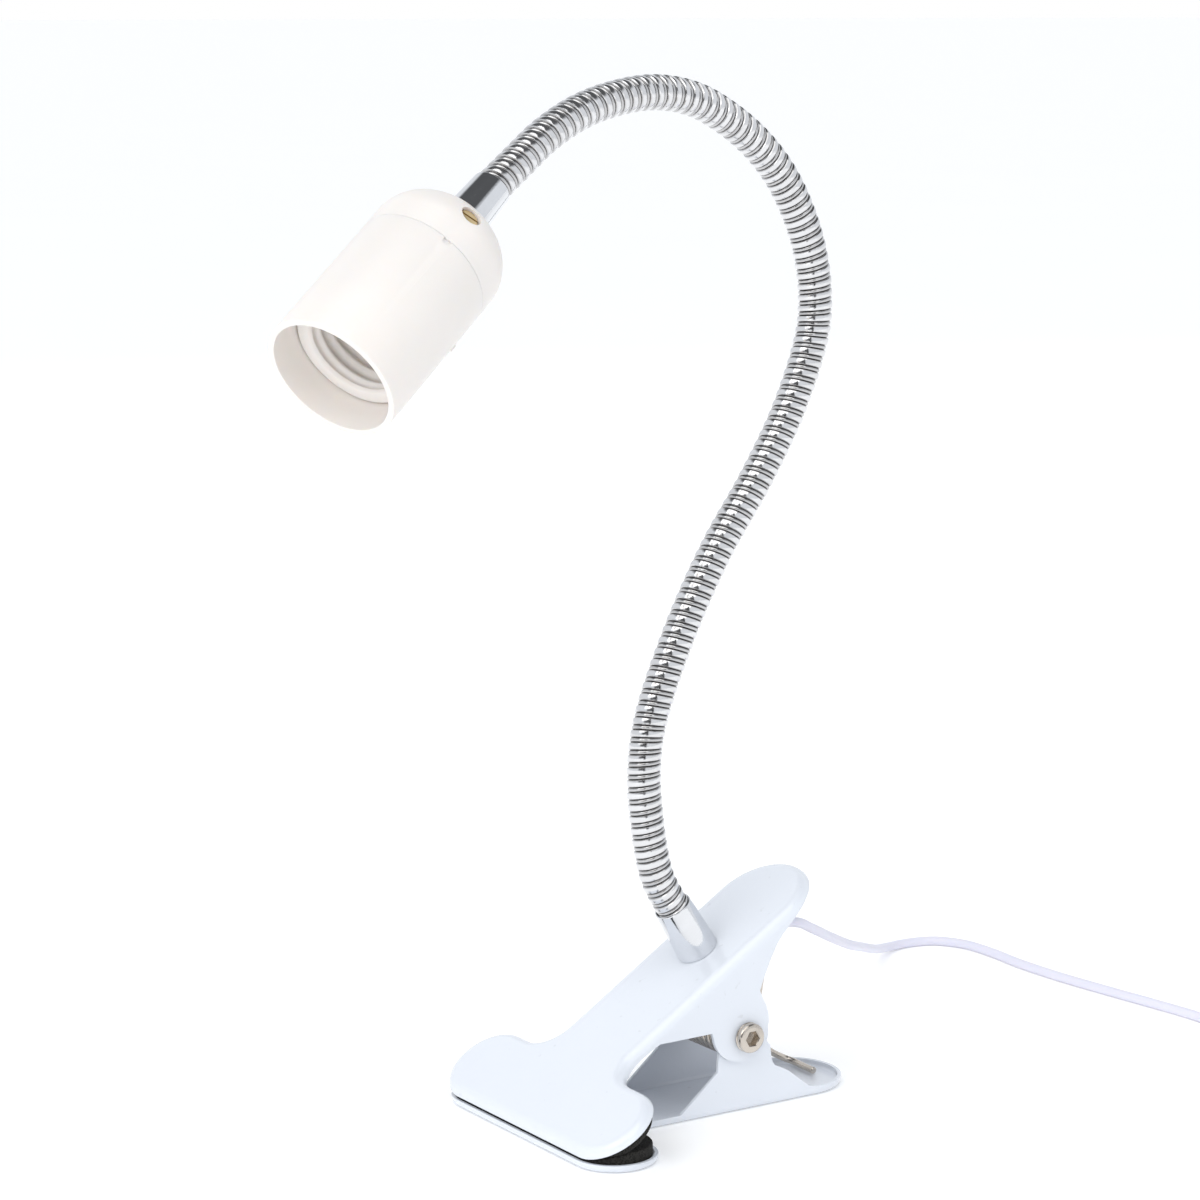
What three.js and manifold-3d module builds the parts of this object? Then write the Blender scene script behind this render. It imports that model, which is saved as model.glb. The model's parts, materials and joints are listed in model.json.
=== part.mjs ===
// Clip-on reading lamp: spring clamp, gooseneck and screw lamp holder.
// Units are millimetres, +Z up. The lamp stands on the flat underside of its lower jaw (z = 0), the
// jaws point along -X and the hinge pin of the clamp lies along Y at x = 0.
import * as THREE from 'three';
import { mergeVertices } from 'three/addons/utils/BufferGeometryUtils.js';
import Module from 'manifold-3d';

const wasm = await Module();
wasm.setup();

// ---- clamp --------------------------------------------------------------------------------------
const SHEET = 1.2;                    // steel sheet of both jaws
const GAP = 0.3;                      // clearance between pieces that meet
const PIVOT_Z = 22.5;                 // height of the hinge pin
const LOWER = {
  front: -67.7, rear: -42.9, headHalf: 44, bodyHalf: 15.6, tailCentre: 27.2, fillet: 7, rim: 2.4,
};
const UPPER = {
  front: -81.2, rear: -55.6, headHalf: 45.2, bodyHalf: 17.1, tailCentre: 16.2, fillet: 9, rim: 2.6,
};
const PLATE_TILT = THREE.MathUtils.degToRad(32.3);   // slope of the upper jaw while the clamp is shut
const PLATE_Z = 48.8;                                // top face of the upper jaw straight above the pin
const PAD_INSET = 1.6, PAD_THICK = 4, PAD_SQUEEZED = 2.75;
const LOWER_EAR_R = 8.6;                             // round top of the lower jaw's ears, about the pin
const UPPER_EAR = { x: -2.2, z: 25, r: 9.5 };        // round bottom of the upper jaw's ears
const PIN_R = 2.6, PIN_HOLE_R = 3.0, PIN_HEAD_R = 4.35, PIN_HEAD_T = 2.6, PIN_PAST_MIDDLE = 4;
const HEX_ACROSS = 4, HEX_DEPTH = 3;
const SPRING_WIRE = 2, SPRING_R = 6.5, SPRING_HALF = 10.4, SPRING_COILS = 8, SPRING_STEP = 30;
const SPRING_FROM = -11, SPRING_TO = 50 - 360 * SPRING_COILS;   // degrees round the pin, upper to lower leg

// ---- gooseneck ----------------------------------------------------------------------------------
const NECK_R = 5, NECK_BORE_R = 2.6, NECK_FLARE_R = 3.2, NECK_TAIL_R = 4.6, SOCKET_CLEAR = 0.3;
const NECK_LEAD_R = 1.2;
const BASE_U = -6.6;                  // foot of the neck along the sloping plate
const BASE_SLEEVE_H = 16.7, TOP_SLEEVE_H = 15, TOP_SLEEVE_SUNK = 6.5;
const SLEEVE_R = 6.2, SLEEVE_TIP_R = 5.5, SLEEVE_BORE_R = 4.9;
const HOLD = 9;                       // length of neck held in each sleeve
const NIPPLE_DROP = 6.6, NIPPLE_RISE = 6, NIPPLE_EDGE = 0.4;
const NIPPLE_R = 4.0, NIPPLE_BORE_R = 2.6, NIPPLE_HOLE_R = 4.3;
const WASHER_R = 7.4, WASHER_T = 1, NUT_R = 7, NUT_T = 3.2;
const BALL_FLARE_FROM = 1.5;          // the bore widens from here to the ball's end, to let the lead swing
const NECK_POINTS = [
  [-19.3, 0, 67.6], [-21.6, 0, 75.5], [-23.2, 0.5, 87], [-23.7, 1, 98.5], [-22.3, 1.5, 109.5], [-18.6, 2, 120.5],
  [-8.7, 3, 141], [3.2, 4, 160.7], [17.4, 5, 179.7], [29.9, 6, 199.6], [38.2, 6.5, 221], [38.8, 6.5, 233],
  [36.7, 6.3, 244.2], [32.4, 6, 255], [25.9, 5.5, 265.5], [17.2, 4.7, 274.5], [5.9, 3.5, 282.2], [-6.8, 1.8, 287.8],
  [-20.9, -0.3, 290], [-35.1, -2.8, 288.8], [-49.5, -5.7, 285.2], [-62.6, -9, 279.3], [-72.6, -12, 273],
];
const NECK_JOINTS = [30, 78, 126, 174, 222, 270, 318];   // distances along the neck at which it bends

// ---- lamp holder, along its own axis from the mouth (0) to the neck -----------------------------
const MOUTH = new THREE.Vector3(-143.1, -35.9, 221.4);
const HOLDER_AXIS = new THREE.Vector3(0.773, 0.27, 0.574).normalize();
const SKIRT_R = 18.7, SKIRT_WALL = 1.7, SKIRT_H = 42.6;
const CAP_GAP = 0.3, CAP_FLAT = 6.5, CAP_TOP = 62.9, CAP_WALL = 2, DOME_OVER = 0.9;
const THREAD_FACE = 10, THREAD_R = 13.3, THREAD_CREST_R = 12.2, THREAD_OUT_R = 16.6, THREAD_END = 37;
const THREAD_PITCH = 3.62, THREAD_TURNS = 5;
const BLOCK_R = 16.4, BLOCK_Z0 = 37.4, BLOCK_Z1 = 46, TERMINAL_X = 8.5, LEAD_WIRE_R = 0.6;
const GRUB = { up: 19.5, round: -106, sunk: 0.9, r: 2.6, long: 3.2, seatR: 3, seatLong: 7 };   // degrees, mm

// ---- supply cord --------------------------------------------------------------------------------
const CORD_R = 1.5;
const CORD_POINTS = [
  [16.9, 0, 44.6], [20.5, 0, 46.9], [25, 0, 48.5], [30, 0.2, 48], [39.5, 5.6, 43.6], [51, 14, 38], [66, 27.7, 31],
  [81.5, 42, 24], [98.5, 59, 17], [115, 75.5, 10.2], [129, 89, 4.8], [140, 97, 2.1], [150, 99, 1.5], [159, 96, 1.5],
  [164.5, 87, 1.5], [165.5, 74, 1.5], [164.5, 58, 1.5], [165, 40, 1.5], [167, 20, 1.5], [169.5, 0, 1.5],
  [171.4, -18, 1.5], [171.9, -36, 1.5],
];
const COIL_TURNS_R = 17, COIL_SECTION_R = 5.7, COIL_CENTRE = [196.4, -36, 6.9];
const TIE_R = 0.45, TIE_AT = -60;
const GRIP_DROP = 12.5;               // height of the cord grip's bore under the upper plate
const GRIP = { x: 7, long: 10, wide: 7, under: 1.6 };
const PLUG = {
  x: 219.8, y: -46, wide: 34, thick: 13.7, long: 30, neck: 9, neckHalf: 4, shoulder: 10, taper: 2,
};
const PLUG_PIN = { r: 2, long: 19, apart: 18.6, sunk: 7 };

// ---- materials ----------------------------------------------------------------------------------
const finish = (colour, roughness, metalness) => ({ colour, roughness, metalness });
const PAINT = finish(0xe9edf4, 0.22, 0);
const FOAM = finish(0x1d1b19, 0.95, 0);
const NICKEL = finish(0xb9ada0, 0.3, 1);
const CHROME = finish(0xc9ccd0, 0.12, 1);
const STEEL = finish(0x9a9ca0, 0.35, 1);
const BRASS = finish(0xb8924a, 0.35, 1);
const WARM_PLASTIC = finish(0xf1eee8, 0.4, 0);
const CERAMIC = finish(0xece8de, 0.5, 0);
const CORD_PLASTIC = finish(0xe6e4f2, 0.45, 0);
const COPPER = finish(0xb4703c, 0.4, 1);

const lamp = new THREE.Group();
lamp.name = 'clip_on_reading_lamp';

/** Adds one named piece to the lamp. */
function piece(name, geometry, look, parent = lamp) {
  const material = new THREE.MeshStandardMaterial({
    color: look.colour, roughness: look.roughness, metalness: look.metalness,
  });
  const mesh = new THREE.Mesh(geometry, material);
  mesh.name = name;
  parent.add(mesh);
  return mesh;
}

/** Closed mesh to solid. */
function solid(geometry) {
  const g = geometry.clone();
  g.deleteAttribute('normal');
  g.deleteAttribute('uv');
  const m = mergeVertices(g, 1e-4);
  return new wasm.Manifold(new wasm.Mesh({
    numProp: 3,
    vertProperties: new Float32Array(m.attributes.position.array),
    triVerts: new Uint32Array(m.index.array),
  }));
}

/** Solid back to a mesh. */
function surface(body) {
  const mesh = body.getMesh();
  const g = new THREE.BufferGeometry();
  g.setAttribute('position', new THREE.BufferAttribute(new Float32Array(mesh.vertProperties), 3));
  g.setIndex(new THREE.BufferAttribute(new Uint32Array(mesh.triVerts), 1));
  g.computeVertexNormals();
  return g;
}

/** Flat outline pushed up from z0 to z1. */
function prism(shape, z0, z1, curveSegments = 7) {
  const g = new THREE.ExtrudeGeometry(shape, { depth: z1 - z0, bevelEnabled: false, curveSegments });
  g.translate(0, 0, z0);
  return g;
}

/** Outline drawn in X and Z, pushed across Y from y0 to y1. */
function crossPrism(points, y0, y1) {
  const shape = new THREE.Shape(points.map(([x, z]) => new THREE.Vector2(x, -z)));
  const g = new THREE.ExtrudeGeometry(shape, { depth: y1 - y0, bevelEnabled: false });
  g.rotateX(-Math.PI / 2);
  g.translate(0, y0, 0);
  return g;
}

/** Round bar along Y. */
function barY(radius, y0, y1, x, z, sides = 20) {
  const g = new THREE.CylinderGeometry(radius, radius, y1 - y0, sides);
  g.translate(x, (y0 + y1) / 2, z);
  return g;
}

/** Turned piece about Z from [radius, z] corners. */
function turned(profile, sides = 32) {
  const g = new THREE.LatheGeometry(profile.map(([r, z]) => new THREE.Vector2(r, z)), sides);
  g.rotateX(Math.PI / 2);
  return g;
}

/** Closed ring profile for a turned piece with a bore. */
function ring(profile, sides = 32) {
  return turned([...profile, profile[0]], sides);
}

/** Round bar swept along a curve. */
function swept(curve, radius, sides, steps) {
  const section = new THREE.Shape();
  for (let i = 0; i < sides; i += 1) {
    const a = (2 * Math.PI * i) / sides;
    if (i === 0) section.moveTo(radius, 0);
    else section.lineTo(radius * Math.cos(a), radius * Math.sin(a));
  }
  section.closePath();
  return new THREE.ExtrudeGeometry(section, { steps, bevelEnabled: false, extrudePath: curve });
}

/** Part of a longer curve between two distances, both measured along it. */
class Stretch extends THREE.Curve {
  constructor(whole, from, to) {
    super();
    this.whole = whole;
    this.from = from / whole.getLength();
    this.to = to / whole.getLength();
  }

  getPoint(t, target = new THREE.Vector3()) {
    return this.whole.getPointAt(THREE.MathUtils.clamp(this.from + (this.to - this.from) * t, 0, 1), target);
  }
}

// ---- plan of a jaw: wide head, straight body and round tail, drawn smaller by `inset` -----------
function jawPlan(size, inset) {
  const half = size.bodyHalf - inset;
  const xf = size.front + inset;
  const xr = size.rear - inset;
  const r = (xr - xf) / 2;
  const lobe = size.headHalf - inset - r;
  const c = size.fillet + inset;
  const s = new THREE.Shape();
  s.moveTo(size.tailCentre, -half);
  s.absarc(size.tailCentre, 0, half, -Math.PI / 2, Math.PI / 2, false);
  s.lineTo(xr + c, half);
  s.absarc(xr + c, half + c, c, -Math.PI / 2, -Math.PI, true);
  s.lineTo(xr, lobe);
  s.absarc(xf + r, lobe, r, 0, Math.PI, false);
  s.lineTo(xf, -lobe);
  s.absarc(xf + r, -lobe, r, Math.PI, 2 * Math.PI, false);
  s.lineTo(xr, -(half + c));
  s.absarc(xr + c, -(half + c), c, Math.PI, Math.PI / 2, true);
  s.closePath();
  return s;
}

/** Foam pad plan: the head alone, inside its rim. */
function padPlan(size, inset) {
  const xf = size.front + inset;
  const xr = size.rear - inset;
  const r = (xr - xf) / 2;
  const lobe = size.headHalf - inset - r;
  const s = new THREE.Shape();
  s.moveTo(xr, -lobe);
  s.lineTo(xr, lobe);
  s.absarc(xf + r, lobe, r, 0, Math.PI, false);
  s.lineTo(xf, -lobe);
  s.absarc(xf + r, -lobe, r, Math.PI, 2 * Math.PI, false);
  s.closePath();
  return s;
}

const arcPoints = (cx, cz, r, fromDeg, toDeg, n) => Array.from({ length: n + 1 }, (_, i) => {
  const a = THREE.MathUtils.degToRad(fromDeg + ((toDeg - fromDeg) * i) / n);
  return [cx + r * Math.cos(a), cz + r * Math.sin(a)];
});

// frame of the sloping upper jaw: x along the plate, z out of its top face
const plate = new THREE.Matrix4().makeRotationY(-PLATE_TILT).setPosition(0, 0, PLATE_Z);
const plateGroup = new THREE.Group();
plateGroup.rotation.y = -PLATE_TILT;
plateGroup.position.z = PLATE_Z;
lamp.add(plateGroup);
const plateUp = new THREE.Vector3(-Math.sin(PLATE_TILT), 0, Math.cos(PLATE_TILT));

// ---- lower jaw: floor, rim and two ears ---------------------------------------------------------
const WIDE = 60;
const lowerSide = [
  [-80, -1], [-80, LOWER.rim], [-21.8, LOWER.rim], [-15.4, 7.7], [-9.2, 12.8],
  ...arcPoints(0, PIVOT_Z, LOWER_EAR_R, 190, -20, 9),
  [9.4, 18], [9.6, 16.4], [9.8, 14.7], [10.2, 13.1], [11.1, 11.8], [12.6, 11.1], [15.9, 9.4], [20.4, 5.9],
  [23.4, 3.6], [26, 2.9], [WIDE, 2.9], [WIDE, -1],
];
const lowerWalls = solid(prism(jawPlan(LOWER, 0), 0, 40))
  .subtract(solid(prism(jawPlan(LOWER, SHEET), -1, 41)))
  .intersect(solid(crossPrism(lowerSide, -WIDE, WIDE)));
const pinHole = solid(barY(PIN_HOLE_R, -WIDE, WIDE, 0, PIVOT_Z));
const lowerJaw = solid(prism(jawPlan(LOWER, 0), 0, SHEET)).add(lowerWalls).subtract(pinHole);
piece('lower_jaw', surface(lowerJaw), PAINT);

// ---- upper jaw: sloping plate, rim and two outer ears -------------------------------------------
const RIM_DROP = UPPER.rim / Math.cos(PLATE_TILT);
const plateTopAt = (x) => PLATE_Z + x * Math.tan(PLATE_TILT);
const upperSide = [
  [-90, 120], [-90, plateTopAt(-90) - RIM_DROP], [-45, plateTopAt(-45) - RIM_DROP], [-41.6, 18],
  [-36.7, 21.5], [-33.4, 23.5], [-30, 25.1], [-12.2, 25.3],
  ...arcPoints(UPPER_EAR.x, UPPER_EAR.z, UPPER_EAR.r, 190, 350, 8), [7.6, 26], [7.4, 28.4], [6.6, 30.9],
  [5.6, 32.7], [4.4, 35.4], [5.9, 39.3], [7.9, 43.7], [10.4, 48.4], [12.4, 51], [15.3, 53.9], [18.4, 56.8],
  [22, plateTopAt(22) - RIM_DROP], [60, plateTopAt(60) - RIM_DROP], [60, 120],
];
const upperWalls = solid(prism(jawPlan(UPPER, 0), -60, 0).applyMatrix4(plate))
  .subtract(solid(prism(jawPlan(UPPER, SHEET), -61, 1).applyMatrix4(plate)))
  .intersect(solid(crossPrism(upperSide, -WIDE, WIDE)));
const nippleHole = new THREE.CylinderGeometry(NIPPLE_HOLE_R, NIPPLE_HOLE_R, 20, 24).rotateX(Math.PI / 2)
  .translate(BASE_U, 0, 0).applyMatrix4(plate);
const upperJaw = solid(prism(jawPlan(UPPER, 0), -SHEET, 0).applyMatrix4(plate)).add(upperWalls)
  .subtract(pinHole).subtract(solid(nippleHole));
piece('upper_jaw', surface(upperJaw), PAINT);

// ---- foam pads, pressed to wedges where the shut jaws squeeze them ------------------------------
const frontX = LOWER.front + 0.5;
const halfTilt = PLATE_TILT / 2;
const squeeze = (x, side) => PAD_SQUEEZED + (x - frontX) * Math.tan(halfTilt) + (side * GAP) / 2 / Math.cos(halfTilt);
const below = crossPrism([[-90, -5], [-90, squeeze(-90, -1)], [-20, squeeze(-20, -1)], [-20, -5]], -WIDE, WIDE);
const above = crossPrism([[-90, 80], [-90, squeeze(-90, 1)], [-20, squeeze(-20, 1)], [-20, 80]], -WIDE, WIDE);
const lowerPad = solid(prism(padPlan(LOWER, PAD_INSET), SHEET + GAP, SHEET + GAP + PAD_THICK))
  .intersect(solid(below));
piece('lower_pad', surface(lowerPad), FOAM);
const upperPad = solid(prism(padPlan(UPPER, PAD_INSET), -SHEET - GAP - PAD_THICK, -SHEET - GAP).applyMatrix4(plate))
  .intersect(solid(above));
piece('upper_pad', surface(upperPad), FOAM);

// ---- hinge pin: barrel screw from the near side, barrel nut from the far side -------------------
const EAR_OUT = UPPER.bodyHalf + GAP;
const hex = new THREE.CylinderGeometry(HEX_ACROSS / Math.sqrt(3), HEX_ACROSS / Math.sqrt(3), 2 * HEX_DEPTH, 6)
  .translate(0, -EAR_OUT - PIN_HEAD_T, PIVOT_Z);
const pinTurned = (from, headSide) => turned([
  [0, 0], [PIN_HEAD_R - 0.9, 0], [PIN_HEAD_R - 0.25, 0.3], [PIN_HEAD_R, 0.9], [PIN_HEAD_R, PIN_HEAD_T],
  [PIN_R, PIN_HEAD_T], [PIN_R, from], [0, from],
], 28).rotateX(headSide * Math.PI / 2);
const screwLength = EAR_OUT + PIN_HEAD_T + PIN_PAST_MIDDLE;
const nutLength = EAR_OUT + PIN_HEAD_T - PIN_PAST_MIDDLE - GAP;
const screw = solid(pinTurned(screwLength, -1).translate(0, -EAR_OUT - PIN_HEAD_T, PIVOT_Z)).subtract(solid(hex));
piece('pivot_screw', surface(screw), NICKEL);
const nut = solid(pinTurned(nutLength, 1).translate(0, EAR_OUT + PIN_HEAD_T, PIVOT_Z));
piece('pivot_nut', surface(nut), NICKEL);

// ---- torsion spring: coil round the pin, one leg under the upper plate, one on the lower floor --
class SpringWire extends THREE.Curve {
  constructor() {
    super();
    const steps = Math.round((SPRING_FROM - SPRING_TO) / SPRING_STEP);
    const points = [new THREE.Vector3(12.6, -SPRING_HALF, 52.4), new THREE.Vector3(9.6, -SPRING_HALF, 37.5)];
    for (let i = 0; i <= steps; i += 1) {
      const a = THREE.MathUtils.degToRad(SPRING_FROM + ((SPRING_TO - SPRING_FROM) * i) / steps);
      const y = SPRING_HALF * (-1 + (2 * i) / steps);
      points.push(new THREE.Vector3(SPRING_R * Math.cos(a), y, PIVOT_Z + SPRING_R * Math.sin(a)));
    }
    points.push(new THREE.Vector3(18, SPRING_HALF, 15.4), new THREE.Vector3(28, SPRING_HALF, 6.6));
    points.push(new THREE.Vector3(33.2, SPRING_HALF - 0.3, 3.6), new THREE.Vector3(35, 8.2, 2.8));
    points.push(new THREE.Vector3(35.1, 3, 2.6), new THREE.Vector3(34.9, -2.4, 2.6));
    this.path = new THREE.CatmullRomCurve3(points, false, 'centripetal');
  }

  getPoint(t, target) {
    return this.path.getPoint(t, target);
  }
}
piece('pivot_spring', swept(new SpringWire(), SPRING_WIRE / 2, 6, 118), NICKEL);

// ---- foot of the neck: sleeve, hollow threaded nipple, washer and nut ---------------------------
const foot = new THREE.Group();
foot.position.x = BASE_U;
plateGroup.add(foot);
piece('base_sleeve', ring([
  [NIPPLE_R + GAP, GAP], [SLEEVE_R, GAP], [SLEEVE_TIP_R, BASE_SLEEVE_H], [SLEEVE_BORE_R, BASE_SLEEVE_H],
  [SLEEVE_BORE_R, NIPPLE_RISE + 2 * GAP], [NIPPLE_R + GAP, NIPPLE_RISE + 2 * GAP],
], 32), CHROME, foot);
piece('base_nipple', ring([
  [NIPPLE_BORE_R, -NIPPLE_DROP], [NIPPLE_R - NIPPLE_EDGE, -NIPPLE_DROP], [NIPPLE_R, NIPPLE_EDGE - NIPPLE_DROP],
  [NIPPLE_R, NIPPLE_RISE - NIPPLE_EDGE], [NIPPLE_R - NIPPLE_EDGE, NIPPLE_RISE], [NIPPLE_BORE_R, NIPPLE_RISE],
], 20), BRASS, foot);
const washerTop = -SHEET - GAP;
piece('base_washer', ring([
  [NIPPLE_R + GAP, washerTop - WASHER_T], [WASHER_R, washerTop - WASHER_T], [WASHER_R, washerTop],
  [NIPPLE_R + GAP, washerTop],
], 24), STEEL, foot);
const nutMiddle = washerTop - WASHER_T - GAP - NUT_T / 2;
const nutBar = new THREE.CylinderGeometry(NUT_R, NUT_R, NUT_T, 6).rotateX(Math.PI / 2).translate(0, 0, nutMiddle);
const nutBore = new THREE.CylinderGeometry(NIPPLE_R + GAP, NIPPLE_R + GAP, 2 * NUT_T, 20).rotateX(Math.PI / 2)
  .translate(0, 0, nutMiddle);
const hexNut = solid(nutBar).subtract(solid(nutBore));
piece('base_nut', surface(hexNut), STEEL, foot);

// ---- gooseneck: a hollow flexible tube, in links that turn on ball ends -------------------------
const footPoint = new THREE.Vector3(BASE_U, 0, 0).applyMatrix4(plate);
const alongFoot = (d) => footPoint.clone().addScaledVector(plateUp, d);
const alongHolder = (d) => MOUTH.clone().addScaledVector(HOLDER_AXIS, d);
const sleeveTip = CAP_TOP + TOP_SLEEVE_H;
const neckPath = new THREE.CatmullRomCurve3([
  alongFoot(BASE_SLEEVE_H - HOLD), alongFoot(BASE_SLEEVE_H - HOLD / 2), alongFoot(BASE_SLEEVE_H),
  ...NECK_POINTS.map((p) => new THREE.Vector3(...p)),
  alongHolder(sleeveTip), alongHolder(sleeveTip - HOLD / 2), alongHolder(sleeveTip - HOLD),
], false, 'centripetal');
neckPath.arcLengthDivisions = 800;
const neckLength = neckPath.getLength();
const atNeck = (s) => neckPath.getPointAt(s / neckLength);
const ball = (radius, s) => {
  const p = atNeck(s);
  return solid(new THREE.SphereGeometry(radius, 14, 8).translate(p.x, p.y, p.z));
};
const cuts = [0, ...NECK_JOINTS.map((s) => s + HOLD), neckLength];
cuts.slice(1).forEach((end, i) => {
  const start = cuts[i];
  const first = i === 0;
  const last = i === cuts.length - 2;
  const from = first ? HOLD + GAP : start;
  const to = last ? end - HOLD - GAP : end;
  const steps = Math.max(3, Math.round((to - from) / 8));
  let link = solid(swept(new Stretch(neckPath, from, to), NECK_R, 14, steps));
  if (!first) link = link.subtract(ball(NECK_R + SOCKET_CLEAR, start));
  if (!last) link = link.add(ball(NECK_R, end));
  if (first) link = link.add(solid(swept(new Stretch(neckPath, 0.5, from + 1), NECK_TAIL_R, 14, 2)));
  if (last) link = link.add(solid(swept(new Stretch(neckPath, to - 1, end - 0.5), NECK_TAIL_R, 14, 2)));
  const boreFrom = Math.max(0, start - 2);
  const boreTo = Math.min(neckLength, end + NECK_R + 1);
  link = link.subtract(solid(swept(new Stretch(neckPath, boreFrom, boreTo), NECK_BORE_R, 8, steps + 1)));
  const flare = new Stretch(neckPath, end + BALL_FLARE_FROM, end + NECK_R + 1);
  if (!last) link = link.subtract(solid(swept(flare, NECK_FLARE_R, 8, 1)));
  piece(`neck_link_${i + 1}`, surface(link), CHROME);
  const lead = swept(new Stretch(neckPath, first ? 0 : start + 1, last ? end : end - 1), NECK_LEAD_R, 6, steps);
  piece(`neck_lead_${i + 1}`, lead, CORD_PLASTIC);
});

// ---- lamp holder --------------------------------------------------------------------------------
const holder = new THREE.Group();
holder.position.copy(MOUTH);
holder.quaternion.setFromUnitVectors(new THREE.Vector3(0, 0, 1), HOLDER_AXIS);
lamp.add(holder);

piece('top_sleeve', ring([
  [SLEEVE_BORE_R, CAP_TOP - TOP_SLEEVE_SUNK], [SLEEVE_R, CAP_TOP - TOP_SLEEVE_SUNK], [SLEEVE_R, CAP_TOP],
  [SLEEVE_TIP_R, sleeveTip], [SLEEVE_BORE_R, sleeveTip],
], 32), CHROME, holder);

const CAP_CENTRE = SKIRT_H + CAP_GAP + CAP_FLAT;
const domeRise = CAP_TOP - CAP_CENTRE + DOME_OVER;
const dome = (radius, rise, hole, n) => Array.from({ length: n + 1 }, (_, i) => {
  const a = (Math.acos(hole / radius) * i) / n;
  return [radius * Math.cos(a), CAP_CENTRE + rise * Math.sin(a)];
});
const CAP_HOLE_R = SLEEVE_R + GAP;
const capBody = solid(ring([
  [SKIRT_R - CAP_WALL, SKIRT_H + CAP_GAP], [SKIRT_R, SKIRT_H + CAP_GAP],
  ...dome(SKIRT_R, domeRise, CAP_HOLE_R, 7),
  ...dome(SKIRT_R - CAP_WALL, domeRise - CAP_WALL, CAP_HOLE_R, 5).reverse(),
], 32));
// seat of the grub screw, drilled square to the dome
const grubUp = THREE.MathUtils.degToRad(GRUB.up);
const grubRound = THREE.MathUtils.degToRad(GRUB.round);
const onDome = (r, z) => new THREE.Vector3(r * Math.cos(grubRound), r * Math.sin(grubRound), z);
const grubPlace = onDome(SKIRT_R * Math.cos(grubUp), CAP_CENTRE + domeRise * Math.sin(grubUp));
const grubOut = onDome(Math.cos(grubUp) / SKIRT_R, Math.sin(grubUp) / domeRise).normalize();
const grubTurn = new THREE.Quaternion().setFromUnitVectors(new THREE.Vector3(0, 1, 0), grubOut);
const grubBar = (radius, long, depth) => {
  const at = grubPlace.clone().addScaledVector(grubOut, -depth);
  return new THREE.CylinderGeometry(radius, radius, long, 18).applyQuaternion(grubTurn).translate(at.x, at.y, at.z);
};
piece('holder_cap', surface(capBody.subtract(solid(grubBar(GRUB.seatR, GRUB.seatLong, 0)))), WARM_PLASTIC, holder);
piece('cap_grub_screw', grubBar(GRUB.r, GRUB.long, GRUB.sunk + GRUB.long / 2), BRASS, holder);

piece('holder_skirt', ring([
  [SKIRT_R - SKIRT_WALL, 0], [SKIRT_R - 0.4, 0], [SKIRT_R, 0.5], [SKIRT_R, SKIRT_H], [SKIRT_R - 1.0, SKIRT_H],
  [SKIRT_R - SKIRT_WALL, SKIRT_H - 0.6],
], 32), WARM_PLASTIC, holder);

const THREAD_BACK_R = THREAD_R + 1.5;
const threadStart = THREAD_FACE + 1.2;
const threadProfile = [[THREAD_R + 0.6, THREAD_FACE]];
for (let i = 0; i < THREAD_TURNS; i += 1) {
  const z = threadStart + i * THREAD_PITCH;
  threadProfile.push([THREAD_R, z], [THREAD_CREST_R, z + THREAD_PITCH / 2]);
}
threadProfile.push([THREAD_R, threadStart + THREAD_TURNS * THREAD_PITCH]);
threadProfile.push([THREAD_R, THREAD_END], [THREAD_BACK_R, THREAD_END]);
piece('thread_insert', ring([
  ...threadProfile, [THREAD_BACK_R, THREAD_FACE + 3], [THREAD_OUT_R, THREAD_FACE + 2], [THREAD_OUT_R, THREAD_FACE],
].reverse(), 24), WARM_PLASTIC, holder);

const leadHole = (x, y) => solid(new THREE.CylinderGeometry(1.5, 1.5, 20, 12).rotateX(Math.PI / 2).translate(x, y, 42));
const block = solid(turned([[0, BLOCK_Z0], [BLOCK_R, BLOCK_Z0], [BLOCK_R, BLOCK_Z1], [0, BLOCK_Z1]], 32))
  .subtract(leadHole(0, 10.5)).subtract(leadHole(0, -10.5));
piece('contact_block', surface(block), CERAMIC, holder);

const tongue = (points, width) => new THREE.ExtrudeGeometry(
  new THREE.Shape(points.map(([x, y]) => new THREE.Vector2(x, y))),
  { depth: width, bevelEnabled: false },
).rotateX(Math.PI / 2).translate(0, width / 2, 0);
piece('centre_contact', tongue([
  [-9, 36.5], [-9, 37.1], [-3, 37.1], [3.2, 33.6], [4.6, 34.4], [4.9, 33.9], [3.2, 32.9], [-3.2, 36.5],
], 5), BRASS, holder);
piece('side_contact', tongue([
  [8.2, 37.1], [8.2, 36.5], [11.4, 36.5], [11.4, 31], [12, 31], [12, 37.1],
], 5), BRASS, holder);

const terminalProfile = [[0, BLOCK_Z1 + GAP], [1.2, BLOCK_Z1 + GAP], [1.2, 48.3], [2.6, 48.3], [2.6, 50], [0, 50]];
const terminal = (name, x) => {
  const t = piece(name, turned(terminalProfile, 14), BRASS, holder);
  t.position.set(x, 0, 0);
};
terminal('terminal_screw_l', -TERMINAL_X);
terminal('terminal_screw_n', TERMINAL_X);

const leadWire = (name, side) => {
  const path = new THREE.CatmullRomCurve3([
    new THREE.Vector3(side * 0.9, 0, sleeveTip - HOLD - 2.5), new THREE.Vector3(side * 1.4, 0, CAP_TOP - 4),
    new THREE.Vector3(side * 3, side * 1.5, 55.6), new THREE.Vector3(side * 5.4, side * 1.5, 52),
    new THREE.Vector3(side * 5.2, side * 0.8, 48),
  ], false, 'centripetal');
  piece(name, swept(path, LEAD_WIRE_R, 6, 8), COPPER, holder);
};
leadWire('lead_wire_l', -1);
leadWire('lead_wire_n', 1);

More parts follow.
